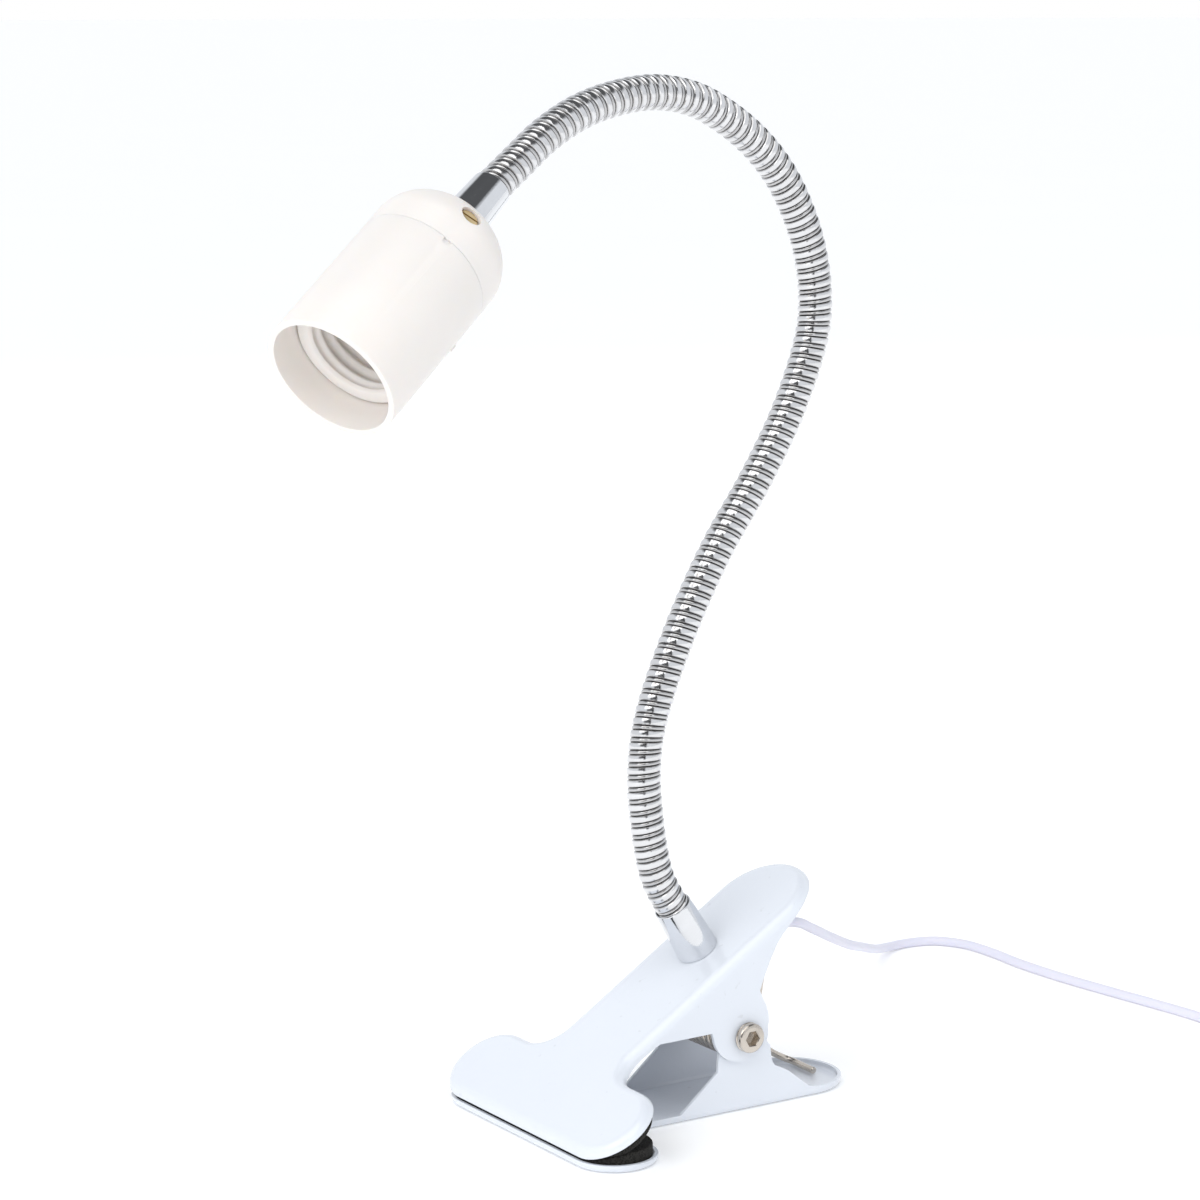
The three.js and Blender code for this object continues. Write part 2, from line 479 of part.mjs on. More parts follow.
// ---- cord clip under the handle, supply cord, coil, tie and plug --------------------------------
const grip = new THREE.Group();
plateGroup.add(grip);
const gripTall = GRIP_DROP + GRIP.under;
const gripBlock = new THREE.BoxGeometry(GRIP.long, GRIP.wide, gripTall).translate(GRIP.x, 0, washerTop - gripTall / 2);
const gripBore = new THREE.CylinderGeometry(CORD_R + GAP, CORD_R + GAP, 2 * GRIP.long, 12).rotateZ(Math.PI / 2)
  .translate(GRIP.x, 0, -GRIP_DROP);
piece('cord_grip', surface(solid(gripBlock).subtract(solid(gripBore))), CORD_PLASTIC, grip);
const footBend = new THREE.CatmullRomCurve3([
  new THREE.Vector3(BASE_U, 0, 7.3), new THREE.Vector3(BASE_U, 0, 0), new THREE.Vector3(BASE_U, 0, -NIPPLE_DROP),
  new THREE.Vector3(BASE_U + 1.6, 0, -GRIP_DROP + 1.7), new THREE.Vector3(BASE_U + 5.4, 0, -GRIP_DROP),
  new THREE.Vector3(4, 0, -GRIP_DROP), new THREE.Vector3(8, 0, -GRIP_DROP),
], false, 'centripetal');
piece('foot_lead', swept(footBend, NECK_LEAD_R, 6, 14), CORD_PLASTIC, grip);

const cordPath = new THREE.CatmullRomCurve3([
  new THREE.Vector3(8.4, 0, -GRIP_DROP).applyMatrix4(plate), ...CORD_POINTS.map((p) => new THREE.Vector3(...p)),
], false, 'centripetal');
piece('supply_cord', swept(cordPath, CORD_R, 8, 60), CORD_PLASTIC);

const [coilX, coilY, coilZ] = COIL_CENTRE;
const coilSection = arcPoints(COIL_TURNS_R, coilZ, COIL_SECTION_R, 0, 360, 10).slice(0, -1);
const coil = piece('cord_coil', ring(coilSection, 28), CORD_PLASTIC);
coil.position.set(coilX, coilY, 0);
const tieAngle = THREE.MathUtils.degToRad(TIE_AT);
const tie = piece('cord_tie', ring(
  arcPoints(COIL_SECTION_R + GAP + TIE_R, 0, TIE_R, 0, 360, 6).slice(0, -1), 20,
).rotateX(Math.PI / 2).rotateZ(tieAngle), FOAM);
tie.position.set(coilX + COIL_TURNS_R * Math.cos(tieAngle), coilY + COIL_TURNS_R * Math.sin(tieAngle), coilZ);

// ---- flat two-pin plug, lying beside the coil ---------------------------------------------------
const plug = new THREE.Group();
plug.position.set(PLUG.x + PLUG.wide / 2, PLUG.y, 0);
lamp.add(plug);
const plugPlan = new THREE.Shape();
const hw = PLUG.wide / 2;
const shoulderY = -PLUG.neck - PLUG.shoulder;
const faceY = -PLUG.neck - PLUG.long;
plugPlan.moveTo(1 - PLUG.neckHalf, 0);
plugPlan.lineTo(PLUG.neckHalf - 1, 0);
plugPlan.lineTo(PLUG.neckHalf, -PLUG.neck);
plugPlan.quadraticCurveTo(hw, -PLUG.neck - PLUG.taper, hw, shoulderY);
plugPlan.lineTo(hw - PLUG.taper, faceY);
plugPlan.lineTo(PLUG.taper - hw, faceY);
plugPlan.lineTo(-hw, shoulderY);
plugPlan.quadraticCurveTo(-hw, -PLUG.neck - PLUG.taper, -PLUG.neckHalf, -PLUG.neck);
plugPlan.closePath();
const pinBar = (radius, from, to, x, sides) => barY(radius, from, to, x, PLUG.thick / 2, sides);
const pins = [['l', -PLUG_PIN.apart / 2], ['n', PLUG_PIN.apart / 2]];
let plugBody = solid(prism(plugPlan, 0, PLUG.thick));
pins.forEach(([, x]) => {
  plugBody = plugBody.subtract(solid(pinBar(PLUG_PIN.r + GAP, faceY - 8, faceY + 8, x, 16)));
});
piece('plug_body', surface(plugBody), CORD_PLASTIC, plug);
pins.forEach(([name, x]) => {
  piece(`plug_pin_${name}`, pinBar(PLUG_PIN.r, faceY - PLUG_PIN.long, faceY + PLUG_PIN.sunk, x, 14), BRASS, plug);
});

export default lamp;
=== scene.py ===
"""Clip-on reading lamp: looks of every piece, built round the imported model.

Sizes are in millimetres inside the builders and are written to the meshes in metres. The route of the supply
cord and the studio are in metres.
"""
import json
import logging
import math
from dataclasses import dataclass
from enum import Enum
from typing import Callable, Dict, List, Optional, Sequence, Tuple

import bmesh
import bpy
import numpy as np
from mathutils import Matrix, Quaternion, Vector

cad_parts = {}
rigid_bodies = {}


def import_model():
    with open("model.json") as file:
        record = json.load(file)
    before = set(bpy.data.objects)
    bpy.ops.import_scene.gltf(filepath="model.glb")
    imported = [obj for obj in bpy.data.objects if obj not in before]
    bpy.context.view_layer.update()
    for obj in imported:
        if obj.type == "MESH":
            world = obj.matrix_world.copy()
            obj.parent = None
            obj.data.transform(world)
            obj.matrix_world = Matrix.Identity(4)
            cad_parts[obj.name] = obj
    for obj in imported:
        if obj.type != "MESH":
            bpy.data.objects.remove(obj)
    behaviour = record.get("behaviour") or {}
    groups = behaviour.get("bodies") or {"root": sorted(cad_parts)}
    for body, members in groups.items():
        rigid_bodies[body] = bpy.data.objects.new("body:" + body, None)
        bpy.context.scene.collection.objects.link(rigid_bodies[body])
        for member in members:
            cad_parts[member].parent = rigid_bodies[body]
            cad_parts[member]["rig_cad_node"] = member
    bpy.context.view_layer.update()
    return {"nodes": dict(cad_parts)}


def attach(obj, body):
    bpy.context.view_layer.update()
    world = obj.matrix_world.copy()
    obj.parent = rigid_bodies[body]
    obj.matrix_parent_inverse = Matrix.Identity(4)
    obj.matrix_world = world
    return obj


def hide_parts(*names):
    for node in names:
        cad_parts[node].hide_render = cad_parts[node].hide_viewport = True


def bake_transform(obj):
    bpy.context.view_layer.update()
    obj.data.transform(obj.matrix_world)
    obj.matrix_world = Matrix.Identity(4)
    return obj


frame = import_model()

LOG = logging.getLogger("lamp")
MM = 0.001
Point = Tuple[float, float, float]
Flat = Tuple[float, float]
Colour = Tuple[float, float, float]
Face = Tuple[int, ...]
Stops = Sequence[Tuple[float, float]]
Node = bpy.types.Node
Socket = bpy.types.NodeSocket
Tree = bpy.types.NodeTree
Thing = bpy.types.Object


# ---- shader nodes --------------------------------------------------------------------------------------

class Graph:
    """Adds nodes to one node tree, with links and values given together."""

    def __init__(self, tree: Tree) -> None:
        """Keeps the tree that nodes are added to."""
        self.tree = tree

    def give(self, node: Node, inputs: Dict[object, object]) -> None:
        """Sets a node's inputs, each to a value or to the socket that feeds it."""
        for name, value in inputs.items():
            socket = node.inputs[name]
            if isinstance(value, Socket):
                self.tree.links.new(value, socket)
            else:
                socket.default_value = value

    def add(self, kind: str, inputs: Optional[Dict[object, object]] = None, **settings: object) -> Node:
        """Adds one node.

        Args:
            kind: node type without its "ShaderNode" prefix.
            inputs: socket name or number to a value, or to the socket that feeds it.
            settings: properties of the node itself.

        Returns:
            The new node.
        """
        node = self.tree.nodes.new(kind if kind.startswith("Node") else "ShaderNode" + kind)
        for name, value in settings.items():
            setattr(node, name, value)
        self.give(node, inputs or {})
        return node

    def ramp(self, source: Socket, stops: Stops) -> Socket:
        """Maps a value through grey stops.

        Args:
            source: the value to map.
            stops: position and grey level, in rising order.

        Returns:
            The mapped value's socket.
        """
        node = self.add("ValToRGB", {"Fac": source})
        elements = node.color_ramp.elements
        while len(elements) < len(stops):
            elements.new(0.5)
        for element, (position, level) in zip(elements, stops):
            element.position = position
            element.color = (level, level, level, 1.0)
        return node.outputs["Color"]

    def span(self, source: Socket, low: float, high: float) -> Socket:
        """Stretches a value from 0..1 to low..high and returns its socket."""
        return self.add("MapRange", {"Value": source, "To Min": low, "To Max": high}).outputs["Result"]

    def mix(self, share: object, first: object, second: object) -> Socket:
        """Mixes two colours by a share and returns the colour socket."""
        return self.add("Mix", {0: share, 6: first, 7: second}, data_type="RGBA").outputs[2]


def blank_graph(owner: object) -> Graph:
    """Empties the nodes of a new material or world and gives its graph."""
    owner.use_nodes = True
    owner.node_tree.nodes.clear()
    return Graph(owner.node_tree)


class Effect(Enum):
    """Surface effects that several finishes share."""

    GRAIN = "fine grain"
    PATCHES = "soft patches"
    DUST = "settled dust"
    FLECKS = "sparse flecks"
    CELLS = "open cells"


class Effects:
    """Builds each shared effect once, as a node group with named sockets."""

    def __init__(self) -> None:
        """Starts with no groups built."""
        self.built: Dict[Effect, Tree] = {}
        self.makers: Dict[Effect, Callable[[], Tree]] = {
            Effect.GRAIN: self.grain,
            Effect.PATCHES: self.patches,
            Effect.DUST: self.dust,
            Effect.FLECKS: self.flecks,
            Effect.CELLS: self.cells,
        }

    def place(self, graph: Graph, effect: Effect, **values: float) -> Node:
        """Places an effect in a material.

        Args:
            graph: the material's nodes.
            effect: which effect.
            values: the group's input values, with spaces in names written as underscores.

        Returns:
            The group node.
        """
        if effect not in self.built:
            self.built[effect] = self.makers[effect]()
        node = graph.add("Group", node_tree=self.built[effect])
        for name, value in values.items():
            node.inputs[name.replace("_", " ")].default_value = value
        return node

    @staticmethod
    def start(effect: Effect, scale: float, output: str) -> Tuple[Graph, Node, Node]:
        """Opens a group that takes a scale and an amount.

        Args:
            effect: gives the group its name.
            scale: usual scale, per metre.
            output: the name of the value that it puts out.

        Returns:
            The group's graph, its input node and its output node.
        """
        tree = bpy.data.node_groups.new(effect.value, "ShaderNodeTree")
        for name, value in (("Scale", scale), ("Amount", 1.0)):
            socket = tree.interface.new_socket(name=name, in_out="INPUT", socket_type="NodeSocketFloat")
            socket.default_value = value
        tree.interface.new_socket(name=output, in_out="OUTPUT", socket_type="NodeSocketFloat")
        graph = Graph(tree)
        return graph, graph.add("NodeGroupInput"), graph.add("NodeGroupOutput")

    @staticmethod
    def texture(graph: Graph, given: Node, kind: str, **values: float) -> Node:
        """Adds a texture that lies still on the piece, at the group's scale."""
        where = graph.add("TexCoord").outputs["Object"]
        return graph.add(kind, {"Vector": where, "Scale": given.outputs["Scale"], **values})

    @staticmethod
    def finish(graph: Graph, given: Node, out: Node, level: Socket) -> Tree:
        """Puts out a level times the group's amount, and gives the group's tree."""
        product = graph.add("Math", {0: level, 1: given.outputs["Amount"]}, operation="MULTIPLY")
        graph.give(out, {0: product.outputs[0]})
        return graph.tree

    def noise_group(self, effect: Effect, output: str, detail: float, stops: Stops, scale: float) -> Tree:
        """Builds a group that is one noise through a ramp.

        Args:
            effect: gives the group its name.
            output: name of the value that it puts out.
            detail: octaves of the noise.
            stops: ramp from noise to value.
            scale: usual scale, per metre.

        Returns:
            The group's tree.
        """
        graph, given, out = self.start(effect, scale, output)
        noise = self.texture(graph, given, "TexNoise", Detail=detail, Roughness=0.55)
        return self.finish(graph, given, out, graph.ramp(noise.outputs["Fac"], stops))

    def grain(self) -> Tree:
        """Fine even grain as a height."""
        return self.noise_group(Effect.GRAIN, "Height", 3.0, ((0.25, 0.0), (0.75, 1.0)), 900.0)

    def patches(self) -> Tree:
        """Soft large patches as a value from 0 to the amount."""
        return self.noise_group(Effect.PATCHES, "Value", 4.0, ((0.3, 0.0), (0.7, 1.0)), 40.0)

    def flecks(self) -> Tree:
        """Few small specks as a mask."""
        return self.noise_group(Effect.FLECKS, "Mask", 2.0, ((0.70, 0.0), (0.76, 1.0)), 400.0)

    def dust(self) -> Tree:
        """Mask of dust on faces that look up."""
        graph, given, out = self.start(Effect.DUST, 120.0, "Mask")
        normal = graph.add("SeparateXYZ", {0: graph.add("NewGeometry").outputs["Normal"]})
        upward = graph.ramp(normal.outputs["Z"], ((0.3, 0.0), (0.95, 1.0)))
        noise = self.texture(graph, given, "TexNoise", Detail=6.0)
        cloud = graph.ramp(noise.outputs["Fac"], ((0.4, 0.0), (0.8, 1.0)))
        both = graph.add("Math", {0: upward, 1: cloud}, operation="MULTIPLY")
        return self.finish(graph, given, out, both.outputs[0])

    def cells(self) -> Tree:
        """Round open cells of foam as a height, low in each cell."""
        graph, given, out = self.start(Effect.CELLS, 1500.0, "Height")
        cells = self.texture(graph, given, "TexVoronoi")
        wall = graph.ramp(cells.outputs["Distance"], ((0.1, 0.0), (0.6, 1.0)))
        return self.finish(graph, given, out, wall)


EFFECTS = Effects()


def rgba(colour: Colour, times: float = 1.0) -> Tuple[float, float, float, float]:
    """Colour with full opacity, brighter or darker by a factor."""
    return (colour[0] * times, colour[1] * times, colour[2] * times, 1.0)


# ---- finishes ------------------------------------------------------------------------------------------

@dataclass(frozen=True)
class Finish:
    """A name, the record's material slot, which is empty for the studio's own, and a colour."""

    name: str
    slot: str
    colour: Colour

    def material(self) -> bpy.types.Material:
        """Makes the finish's material, or gives the one already made.

        Returns:
            The material.
        """
        found = bpy.data.materials.get(self.name)
        if found is not None:
            return found
        made = bpy.data.materials.new(self.name)
        made.diffuse_color = rgba(self.colour)
        graph = blank_graph(made)
        shader = graph.add("BsdfPrincipled")
        self.shade(graph, shader)
        graph.add("OutputMaterial", {"Surface": shader.outputs["BSDF"]})
        return made

    def shade(self, graph: Graph, shader: Node) -> None:
        """Sets the shader's sockets; each kind of finish has its own."""
        raise NotImplementedError

    @staticmethod
    def feed(graph: Graph, shader: Node, **sockets: object) -> None:
        """Sets or links the shader's sockets, with spaces in names written as underscores."""
        graph.give(shader, {name.replace("_", " "): source for name, source in sockets.items()})

    @staticmethod
    def bump(graph: Graph, height: Socket, depth: float, strength: float) -> Socket:
        """Normal bent by a height, whose full range is depth metres deep."""
        node = graph.add("Bump", {"Height": height, "Distance": depth, "Strength": strength})
        return node.outputs["Normal"]


@dataclass(frozen=True)
class GlossPaint(Finish):
    """Baked gloss paint on pressed steel: faint orange peel and a few specks."""

    roughness: float = 0.2
    peel: float = 0.00006

    def shade(self, graph: Graph, shader: Node) -> None:
        """Paint colour with soft tone patches, a few specks and a clear top coat."""
        tone = EFFECTS.place(graph, Effect.PATCHES, Scale=22.0, Amount=0.6)
        fleck = EFFECTS.place(graph, Effect.FLECKS, Scale=330.0, Amount=0.35)
        base = graph.mix(tone.outputs[0], rgba(self.colour), rgba(self.colour, 0.965))
        flecked = graph.mix(fleck.outputs[0], base, (0.55, 0.57, 0.6, 1.0))
        peel = EFFECTS.place(graph, Effect.GRAIN, Scale=520.0, Amount=1.0)
        rough = graph.span(tone.outputs[0], self.roughness, self.roughness + 0.08)
        self.feed(graph, shader, Base_Color=flecked, Roughness=rough, Coat_Weight=0.35, Coat_Roughness=0.08,
                  Normal=self.bump(graph, peel.outputs[0], self.peel, 0.35))


@dataclass(frozen=True)
class PlatedMetal(Finish):
    """Plated or plain metal with handling marks, a duller tone where it is not rubbed, and painted shade in
    grooves.
    """

    roughness: float = 0.12
    tarnish_and_groove_shade: Colour = (0.3, 0.28, 0.26)
    tarnish_share: float = 0.2
    grain_scale: float = 1500.0
    grain_depth: float = 0.00002
    paints_groove_shade: bool = False

    def shade(self, graph: Graph, shader: Node) -> None:
        """Metal colour with tarnish patches, fine marks, roughness that follows both, and painted shade in a
        winding's grooves.
        """
        patches = EFFECTS.place(graph, Effect.PATCHES, Scale=120.0, Amount=self.tarnish_share)
        marks = EFFECTS.place(graph, Effect.GRAIN, Scale=self.grain_scale, Amount=1.0)
        colour = graph.mix(patches.outputs[0], rgba(self.colour), rgba(self.tarnish_and_groove_shade))
        # Painted shade: the colour darkens towards half the tarnish colour at the bottom of the winding's
        # grooves.
        if self.paints_groove_shade:
            groove = graph.add("Attribute", attribute_name="groove").outputs["Fac"]
            colour = graph.mix(groove, colour, rgba(self.tarnish_and_groove_shade, 0.5))
        rough = graph.span(patches.outputs[0], self.roughness, self.roughness + 0.25)
        self.feed(graph, shader, Base_Color=colour, Roughness=rough,
                  Normal=self.bump(graph, marks.outputs[0], self.grain_depth, 0.3), Metallic=1.0)


@dataclass(frozen=True)
class Moulding(Finish):
    """Moulded plastic: faint flow tone, satin mould grain, a little light passing under the surface."""

    roughness: float = 0.4
    grain_scale: float = 1400.0
    grain_depth: float = 0.00004
    dust: float = 0.0
    glow: float = 0.0

    def shade(self, graph: Graph, shader: Node) -> None:
        """Plastic colour with flow tone and dust, and roughness that follows the tone."""
        tone = EFFECTS.place(graph, Effect.PATCHES, Scale=30.0, Amount=0.7)
        dust = EFFECTS.place(graph, Effect.DUST, Scale=150.0, Amount=self.dust)
        grain = EFFECTS.place(graph, Effect.GRAIN, Scale=self.grain_scale, Amount=1.0)
        base = graph.mix(tone.outputs[0], rgba(self.colour), rgba(self.colour, 0.955))
        dusty = graph.mix(dust.outputs[0], base, (0.62, 0.6, 0.56, 1.0))
        rough = graph.span(tone.outputs[0], self.roughness, self.roughness + 0.1)
        self.feed(graph, shader, Base_Color=dusty, Roughness=rough,
                  Normal=self.bump(graph, grain.outputs[0], self.grain_depth, 0.3))
        if self.glow > 0:
            self.feed(graph, shader, Subsurface_Weight=self.glow, Subsurface_Radius=(0.004, 0.003, 0.002),
                      Subsurface_Scale=0.5)


@dataclass(frozen=True)
class Foam(Finish):
    """Cut cellular rubber: open cells on every face, painted shade in their pits, and paler rubbed skin."""

    cell_scale: float = 1700.0

    def shade(self, graph: Graph, shader: Node) -> None:
        """Dark foam with the pits of the cells as painted shade in colour and as hollows in height."""
        cells = EFFECTS.place(graph, Effect.CELLS, Scale=self.cell_scale, Amount=1.0)
        tone = EFFECTS.place(graph, Effect.PATCHES, Scale=90.0, Amount=1.0)
        base = graph.mix(tone.outputs[0], rgba(self.colour), rgba(self.colour, 1.7))
        # Painted shade: the pits of the cells are darkened to 0.35 of the foam colour.
        pits_with_painted_shade = graph.mix(cells.outputs[0], rgba(self.colour, 0.35), base)
        self.feed(graph, shader, Base_Color=pits_with_painted_shade, Roughness=0.92, Specular_IOR_Level=0.25,
                  Normal=self.bump(graph, cells.outputs[0], 0.0002, 0.8))


@dataclass(frozen=True)
class Backdrop(Finish):
    """Matt studio floor or card with a slow drift of tone, and a glow where it has to stay white."""

    far_colour: Colour = (1.0, 1.0, 1.0)
    roughness: float = 0.9
    specular: float = 0.5
    patch_scale: float = 3.0
    patch_share: float = 0.4
    glow: float = 0.0

    def shade(self, graph: Graph, shader: Node) -> None:
        """Colour that drifts between two close tones, and glows with the same colour."""
        tone = EFFECTS.place(graph, Effect.PATCHES, Scale=self.patch_scale, Amount=self.patch_share)
        colour = graph.mix(tone.outputs[0], rgba(self.colour), rgba(self.far_colour))
        self.feed(graph, shader, Base_Color=colour, Emission_Color=colour, Emission_Strength=self.glow,
                  Roughness=self.roughness, Specular_IOR_Level=self.specular)


PAINT = GlossPaint("white gloss paint", "white_paint", (0.745, 0.78, 0.84))
CHROME = PlatedMetal("bright chrome", "chrome", (0.80, 0.81, 0.83), roughness=0.07, tarnish_share=0.12)
NECK_CHROME = PlatedMetal("chrome winding", "chrome", (0.80, 0.80, 0.81), roughness=0.13, tarnish_share=0.15,
                          paints_groove_shade=True)
NICKEL = PlatedMetal("nickel plate", "nickel", (0.66, 0.60, 0.53), roughness=0.2, tarnish_share=0.35)
ZINC = PlatedMetal("zinc plated steel", "zinc_steel", (0.62, 0.63, 0.66), roughness=0.34, tarnish_share=0.4)
BRASS = PlatedMetal("brass", "brass", (0.72, 0.53, 0.26), roughness=0.28, tarnish_and_groove_shade=(0.30, 0.19, 0.09),
                    tarnish_share=0.5)
COPPER = PlatedMetal("bare copper", "copper", (0.72, 0.39, 0.22), roughness=0.32, tarnish_and_groove_shade=(0.28, 0.12, 0.07))
FOAM = Foam("black cell foam", "foam", (0.022, 0.021, 0.019))
HOLDER_WHITE = Moulding("warm white holder plastic", "holder_plastic", (0.845, 0.805, 0.77), roughness=0.36,
                        glow=0.25)
CORD_WHITE = Moulding("cord sheath", "cord_white", (0.76, 0.755, 0.86), roughness=0.42, grain_scale=2200.0,
                      glow=0.15)
TIE_BLACK = Moulding("black tie", "tie_black", (0.02, 0.02, 0.022), roughness=0.5, dust=0.2)
CERAMIC = Moulding("unglazed ceramic", "ceramic_block", (0.78, 0.75, 0.68), roughness=0.62,
                   grain_scale=2600.0, grain_depth=0.00008)
FLOOR = Backdrop("pale floor", "", (0.93, 0.93, 0.93), far_colour=(0.91, 0.91, 0.915), specular=0.1,
                 glow=0.16)
DARK_CARD = Backdrop("dark card", "", (0.03, 0.03, 0.03), far_colour=(0.05, 0.05, 0.05), roughness=0.8,
                     patch_scale=6.0, patch_share=1.0)


# ---- curves --------------------------------------------------------------------------------------------

class SmoothPath:
    """Centripetal curve through points, read by distance along it, in millimetres."""

    def __init__(self, points: Sequence[Point], per_span: int = 40) -> None:
        """Samples the curve finely.

        Args:
            points: the points that it passes through.
            per_span: samples between two points.
        """
        known = np.array(points, float)
        padded = np.vstack([2 * known[0] - known[1], known, 2 * known[-1] - known[-2]])
        steps = np.sqrt(np.linalg.norm(np.diff(padded, axis=0), axis=1))
        t = np.linspace(0, 1, per_span, endpoint=False)[:, None]
        spans = []
        for i in range(len(known) - 1):
            a, b, c, d = padded[i:i + 4]
            u, v, w = steps[i:i + 3]
            start = ((b - a) / u - (c - a) / (u + v) + (c - b) / v) * v
            end = ((c - b) / v - (d - b) / (v + w) + (d - c) / w) * v
            spans.append(b + start * t + (3 * (c - b) - 2 * start - end) * t ** 2
                         + (2 * (b - c) + start + end) * t ** 3)
        self.points = np.vstack(spans + [known[-1:]])
        lengths = np.linalg.norm(np.diff(self.points, axis=0), axis=1)
        self.marks = np.concatenate([[0.0], np.cumsum(lengths)])
        self.length = float(self.marks[-1])
        self.tangents, self.sides = self._frames()

    def _frames(self) -> Tuple[np.ndarray, np.ndarray]:
        """Directions along the curve, and sideways ones that turn with it and never twist round it."""
        tangents = np.gradient(self.points, self.marks, axis=0)
        tangents /= np.linalg.norm(tangents, axis=1)[:, None]
        side = np.cross(tangents[0], (0.0, 1.0, 0.0))
        if np.linalg.norm(side) < 0.1:
            side = np.cross(tangents[0], (1.0, 0.0, 0.0))
        sides = []
        for tangent in tangents:
            side = side - np.dot(side, tangent) * tangent
            side = side / np.linalg.norm(side)
            sides.append(side)
        return tangents, np.array(sides)

    def _read(self, table: np.ndarray, s: np.ndarray) -> np.ndarray:
        """Values of a sampled table at distances along the curve."""
        return np.stack([np.interp(s, self.marks, table[:, k]) for k in range(3)], axis=-1)

    def at(self, s: object) -> np.ndarray:
        """Points at distances along the curve."""
        return self._read(self.points, np.asarray(s, float))

    def around(self, s: np.ndarray, angle: np.ndarray, radius: np.ndarray) -> np.ndarray:
        """Points round the curve.

        Args:
            s: distances along it.
            angle: angles round it, in radians.
            radius: distances from it.

        Returns:
            The points, one row for each.
        """
        tangent = self._read(self.tangents, s)
        tangent /= np.linalg.norm(tangent, axis=-1, keepdims=True)
        side = self._read(self.sides, s)
        side -= np.sum(side * tangent, axis=-1, keepdims=True) * tangent
        side /= np.linalg.norm(side, axis=-1, keepdims=True)
        other = np.cross(tangent, side)
        outward = np.cos(angle)[..., None] * side + np.sin(angle)[..., None] * other
        return self.at(s) + radius[..., None] * outward


def arc(centre: Flat, radius: float, start: float, end: float, steps: int) -> List[Flat]:
    """Points of an arc.

    Args:
        centre: its centre.
        radius: its radius.
        start: first angle, in degrees.
        end: last angle, in degrees.
        steps: number of chords.

    Returns:
        The points, both ends included.
    """
    angles = [math.radians(start + (end - start) * i / steps) for i in range(steps + 1)]
    return [(centre[0] + radius * math.cos(a), centre[1] + radius * math.sin(a)) for a in angles]


def rounded(corners: Sequence[Flat], radius: float, steps: int = 4) -> List[Flat]:
    """Rounds the corners of a closed outline.

    Args:
        corners: its corners.
        radius: how far along each side the rounding reaches, at most.
        steps: chords in each corner.

    Returns:
        The softened outline.
    """
    out: List[Flat] = []
    count = len(corners)
    for i, corner in enumerate(corners):
        here = Vector(corner)
        back = Vector(corners[i - 1]) - here
        ahead = Vector(corners[(i + 1) % count]) - here
        reach = min(radius, 0.45 * back.length, 0.45 * ahead.length)
        first = here + back.normalized() * reach
        last = here + ahead.normalized() * reach
        for k in range(steps + 1):
            t = k / steps
            spot = first * (1 - t) ** 2 + here * (2 * t * (1 - t)) + last * t ** 2
            out.append((spot.x, spot.y))
    return out


# ---- meshes --------------------------------------------------------------------------------------------

SHARP_ANGLE = math.radians(38)


def quads(rows: int, columns: int, rows_close: bool = True, columns_close: bool = True) -> List[Face]:
    """Faces between neighbouring points that are numbered row by row.

    Args:
        rows: how many rows there are.
        columns: how many points there are in a row.
        rows_close: whether the last row joins the first.
        columns_close: whether the last point of a row joins its first.

    Returns:
        The vertex numbers of each face, row after row.
    """
    faces: List[Face] = []
    for i in range(rows if rows_close else rows - 1):
        a, b = i * columns, (i + 1) % rows * columns
        for j in range(columns if columns_close else columns - 1):
            k = (j + 1) % columns
            faces.append((a + j, b + j, b + k, a + k))
    return faces


def mesh_object(name: str, points: Sequence[Sequence[float]], faces: Sequence[Face]) -> Thing:
    """Makes a mesh object from millimetres.

    Args:
        name: the piece's name.
        points: vertices in millimetres.
        faces: vertex numbers of each face.

    Returns:
        The object, in the scene.
    """
    data = bpy.data.meshes.new(name)
    data.from_pydata([tuple(float(c) * MM for c in p) for p in points], [], [tuple(f) for f in faces])
    thing = bpy.data.objects.new(name, data)
    bpy.context.scene.collection.objects.link(thing)
    tidy_mesh(thing)
    return thing


def tidy_mesh(thing: Thing, merge: float = 1e-7) -> None:
    """Merges doubles, turns all faces outward, shades smooth and keeps real corners sharp.

    Args:
        thing: the mesh object.
        merge: how near two vertices are merged, in metres.
    """
    work = bmesh.new()
    work.from_mesh(thing.data)
    bmesh.ops.remove_doubles(work, verts=work.verts, dist=merge)
    bmesh.ops.dissolve_degenerate(work, edges=work.edges, dist=merge)
    bmesh.ops.recalc_face_normals(work, faces=work.faces)
    work.to_mesh(thing.data)
    work.free()
    smooth(thing)


def smooth(thing: Thing) -> None:
    """Shades smooth, with edges above the sharp angle kept sharp."""
    thing.data.polygons.foreach_set("use_smooth", [True] * len(thing.data.polygons))
    thing.data.set_sharp_from_angle(angle=SHARP_ANGLE)


def settle(thing: Thing) -> None:
    """Applies all modifiers of an object to its mesh."""
    bpy.context.view_layer.update()
    graph = bpy.context.evaluated_depsgraph_get()
    baked = bpy.data.meshes.new_from_object(thing.evaluated_get(graph))
    thing.modifiers.clear()
    old = thing.data
    thing.data = baked
    bpy.data.meshes.remove(old)
    baked.name = thing.name


def cut(thing: Thing, tool: Thing, how: str = "DIFFERENCE") -> None:
    """Cuts a solid with another, joins it or keeps what both share, and removes the other."""
    modifier = thing.modifiers.new("cut", "BOOLEAN")
    modifier.operation = how
    modifier.solver = "EXACT"
    modifier.object = tool
    settle(thing)
    bpy.data.objects.remove(tool)


def soften(thing: Thing, width: float, segments: int = 2, angle: float = 32.0) -> None:
    """Rounds sharp edges and evens the shading of flat faces.

    Args:
        thing: the solid.
        width: width of the rounding in millimetres.
        segments: steps in it.
        angle: edges sharper than this, in degrees, are rounded.
    """
    bevel = thing.modifiers.new("round edges", "BEVEL")
    bevel.width = width * MM
    bevel.segments = segments
    bevel.limit_method = "ANGLE"
    bevel.angle_limit = math.radians(angle)
    bevel.harden_normals = False
    settle(thing)
    smooth(thing)
    even = thing.modifiers.new("even shading", "WEIGHTED_NORMAL")
    even.keep_sharp = True
    settle(thing)


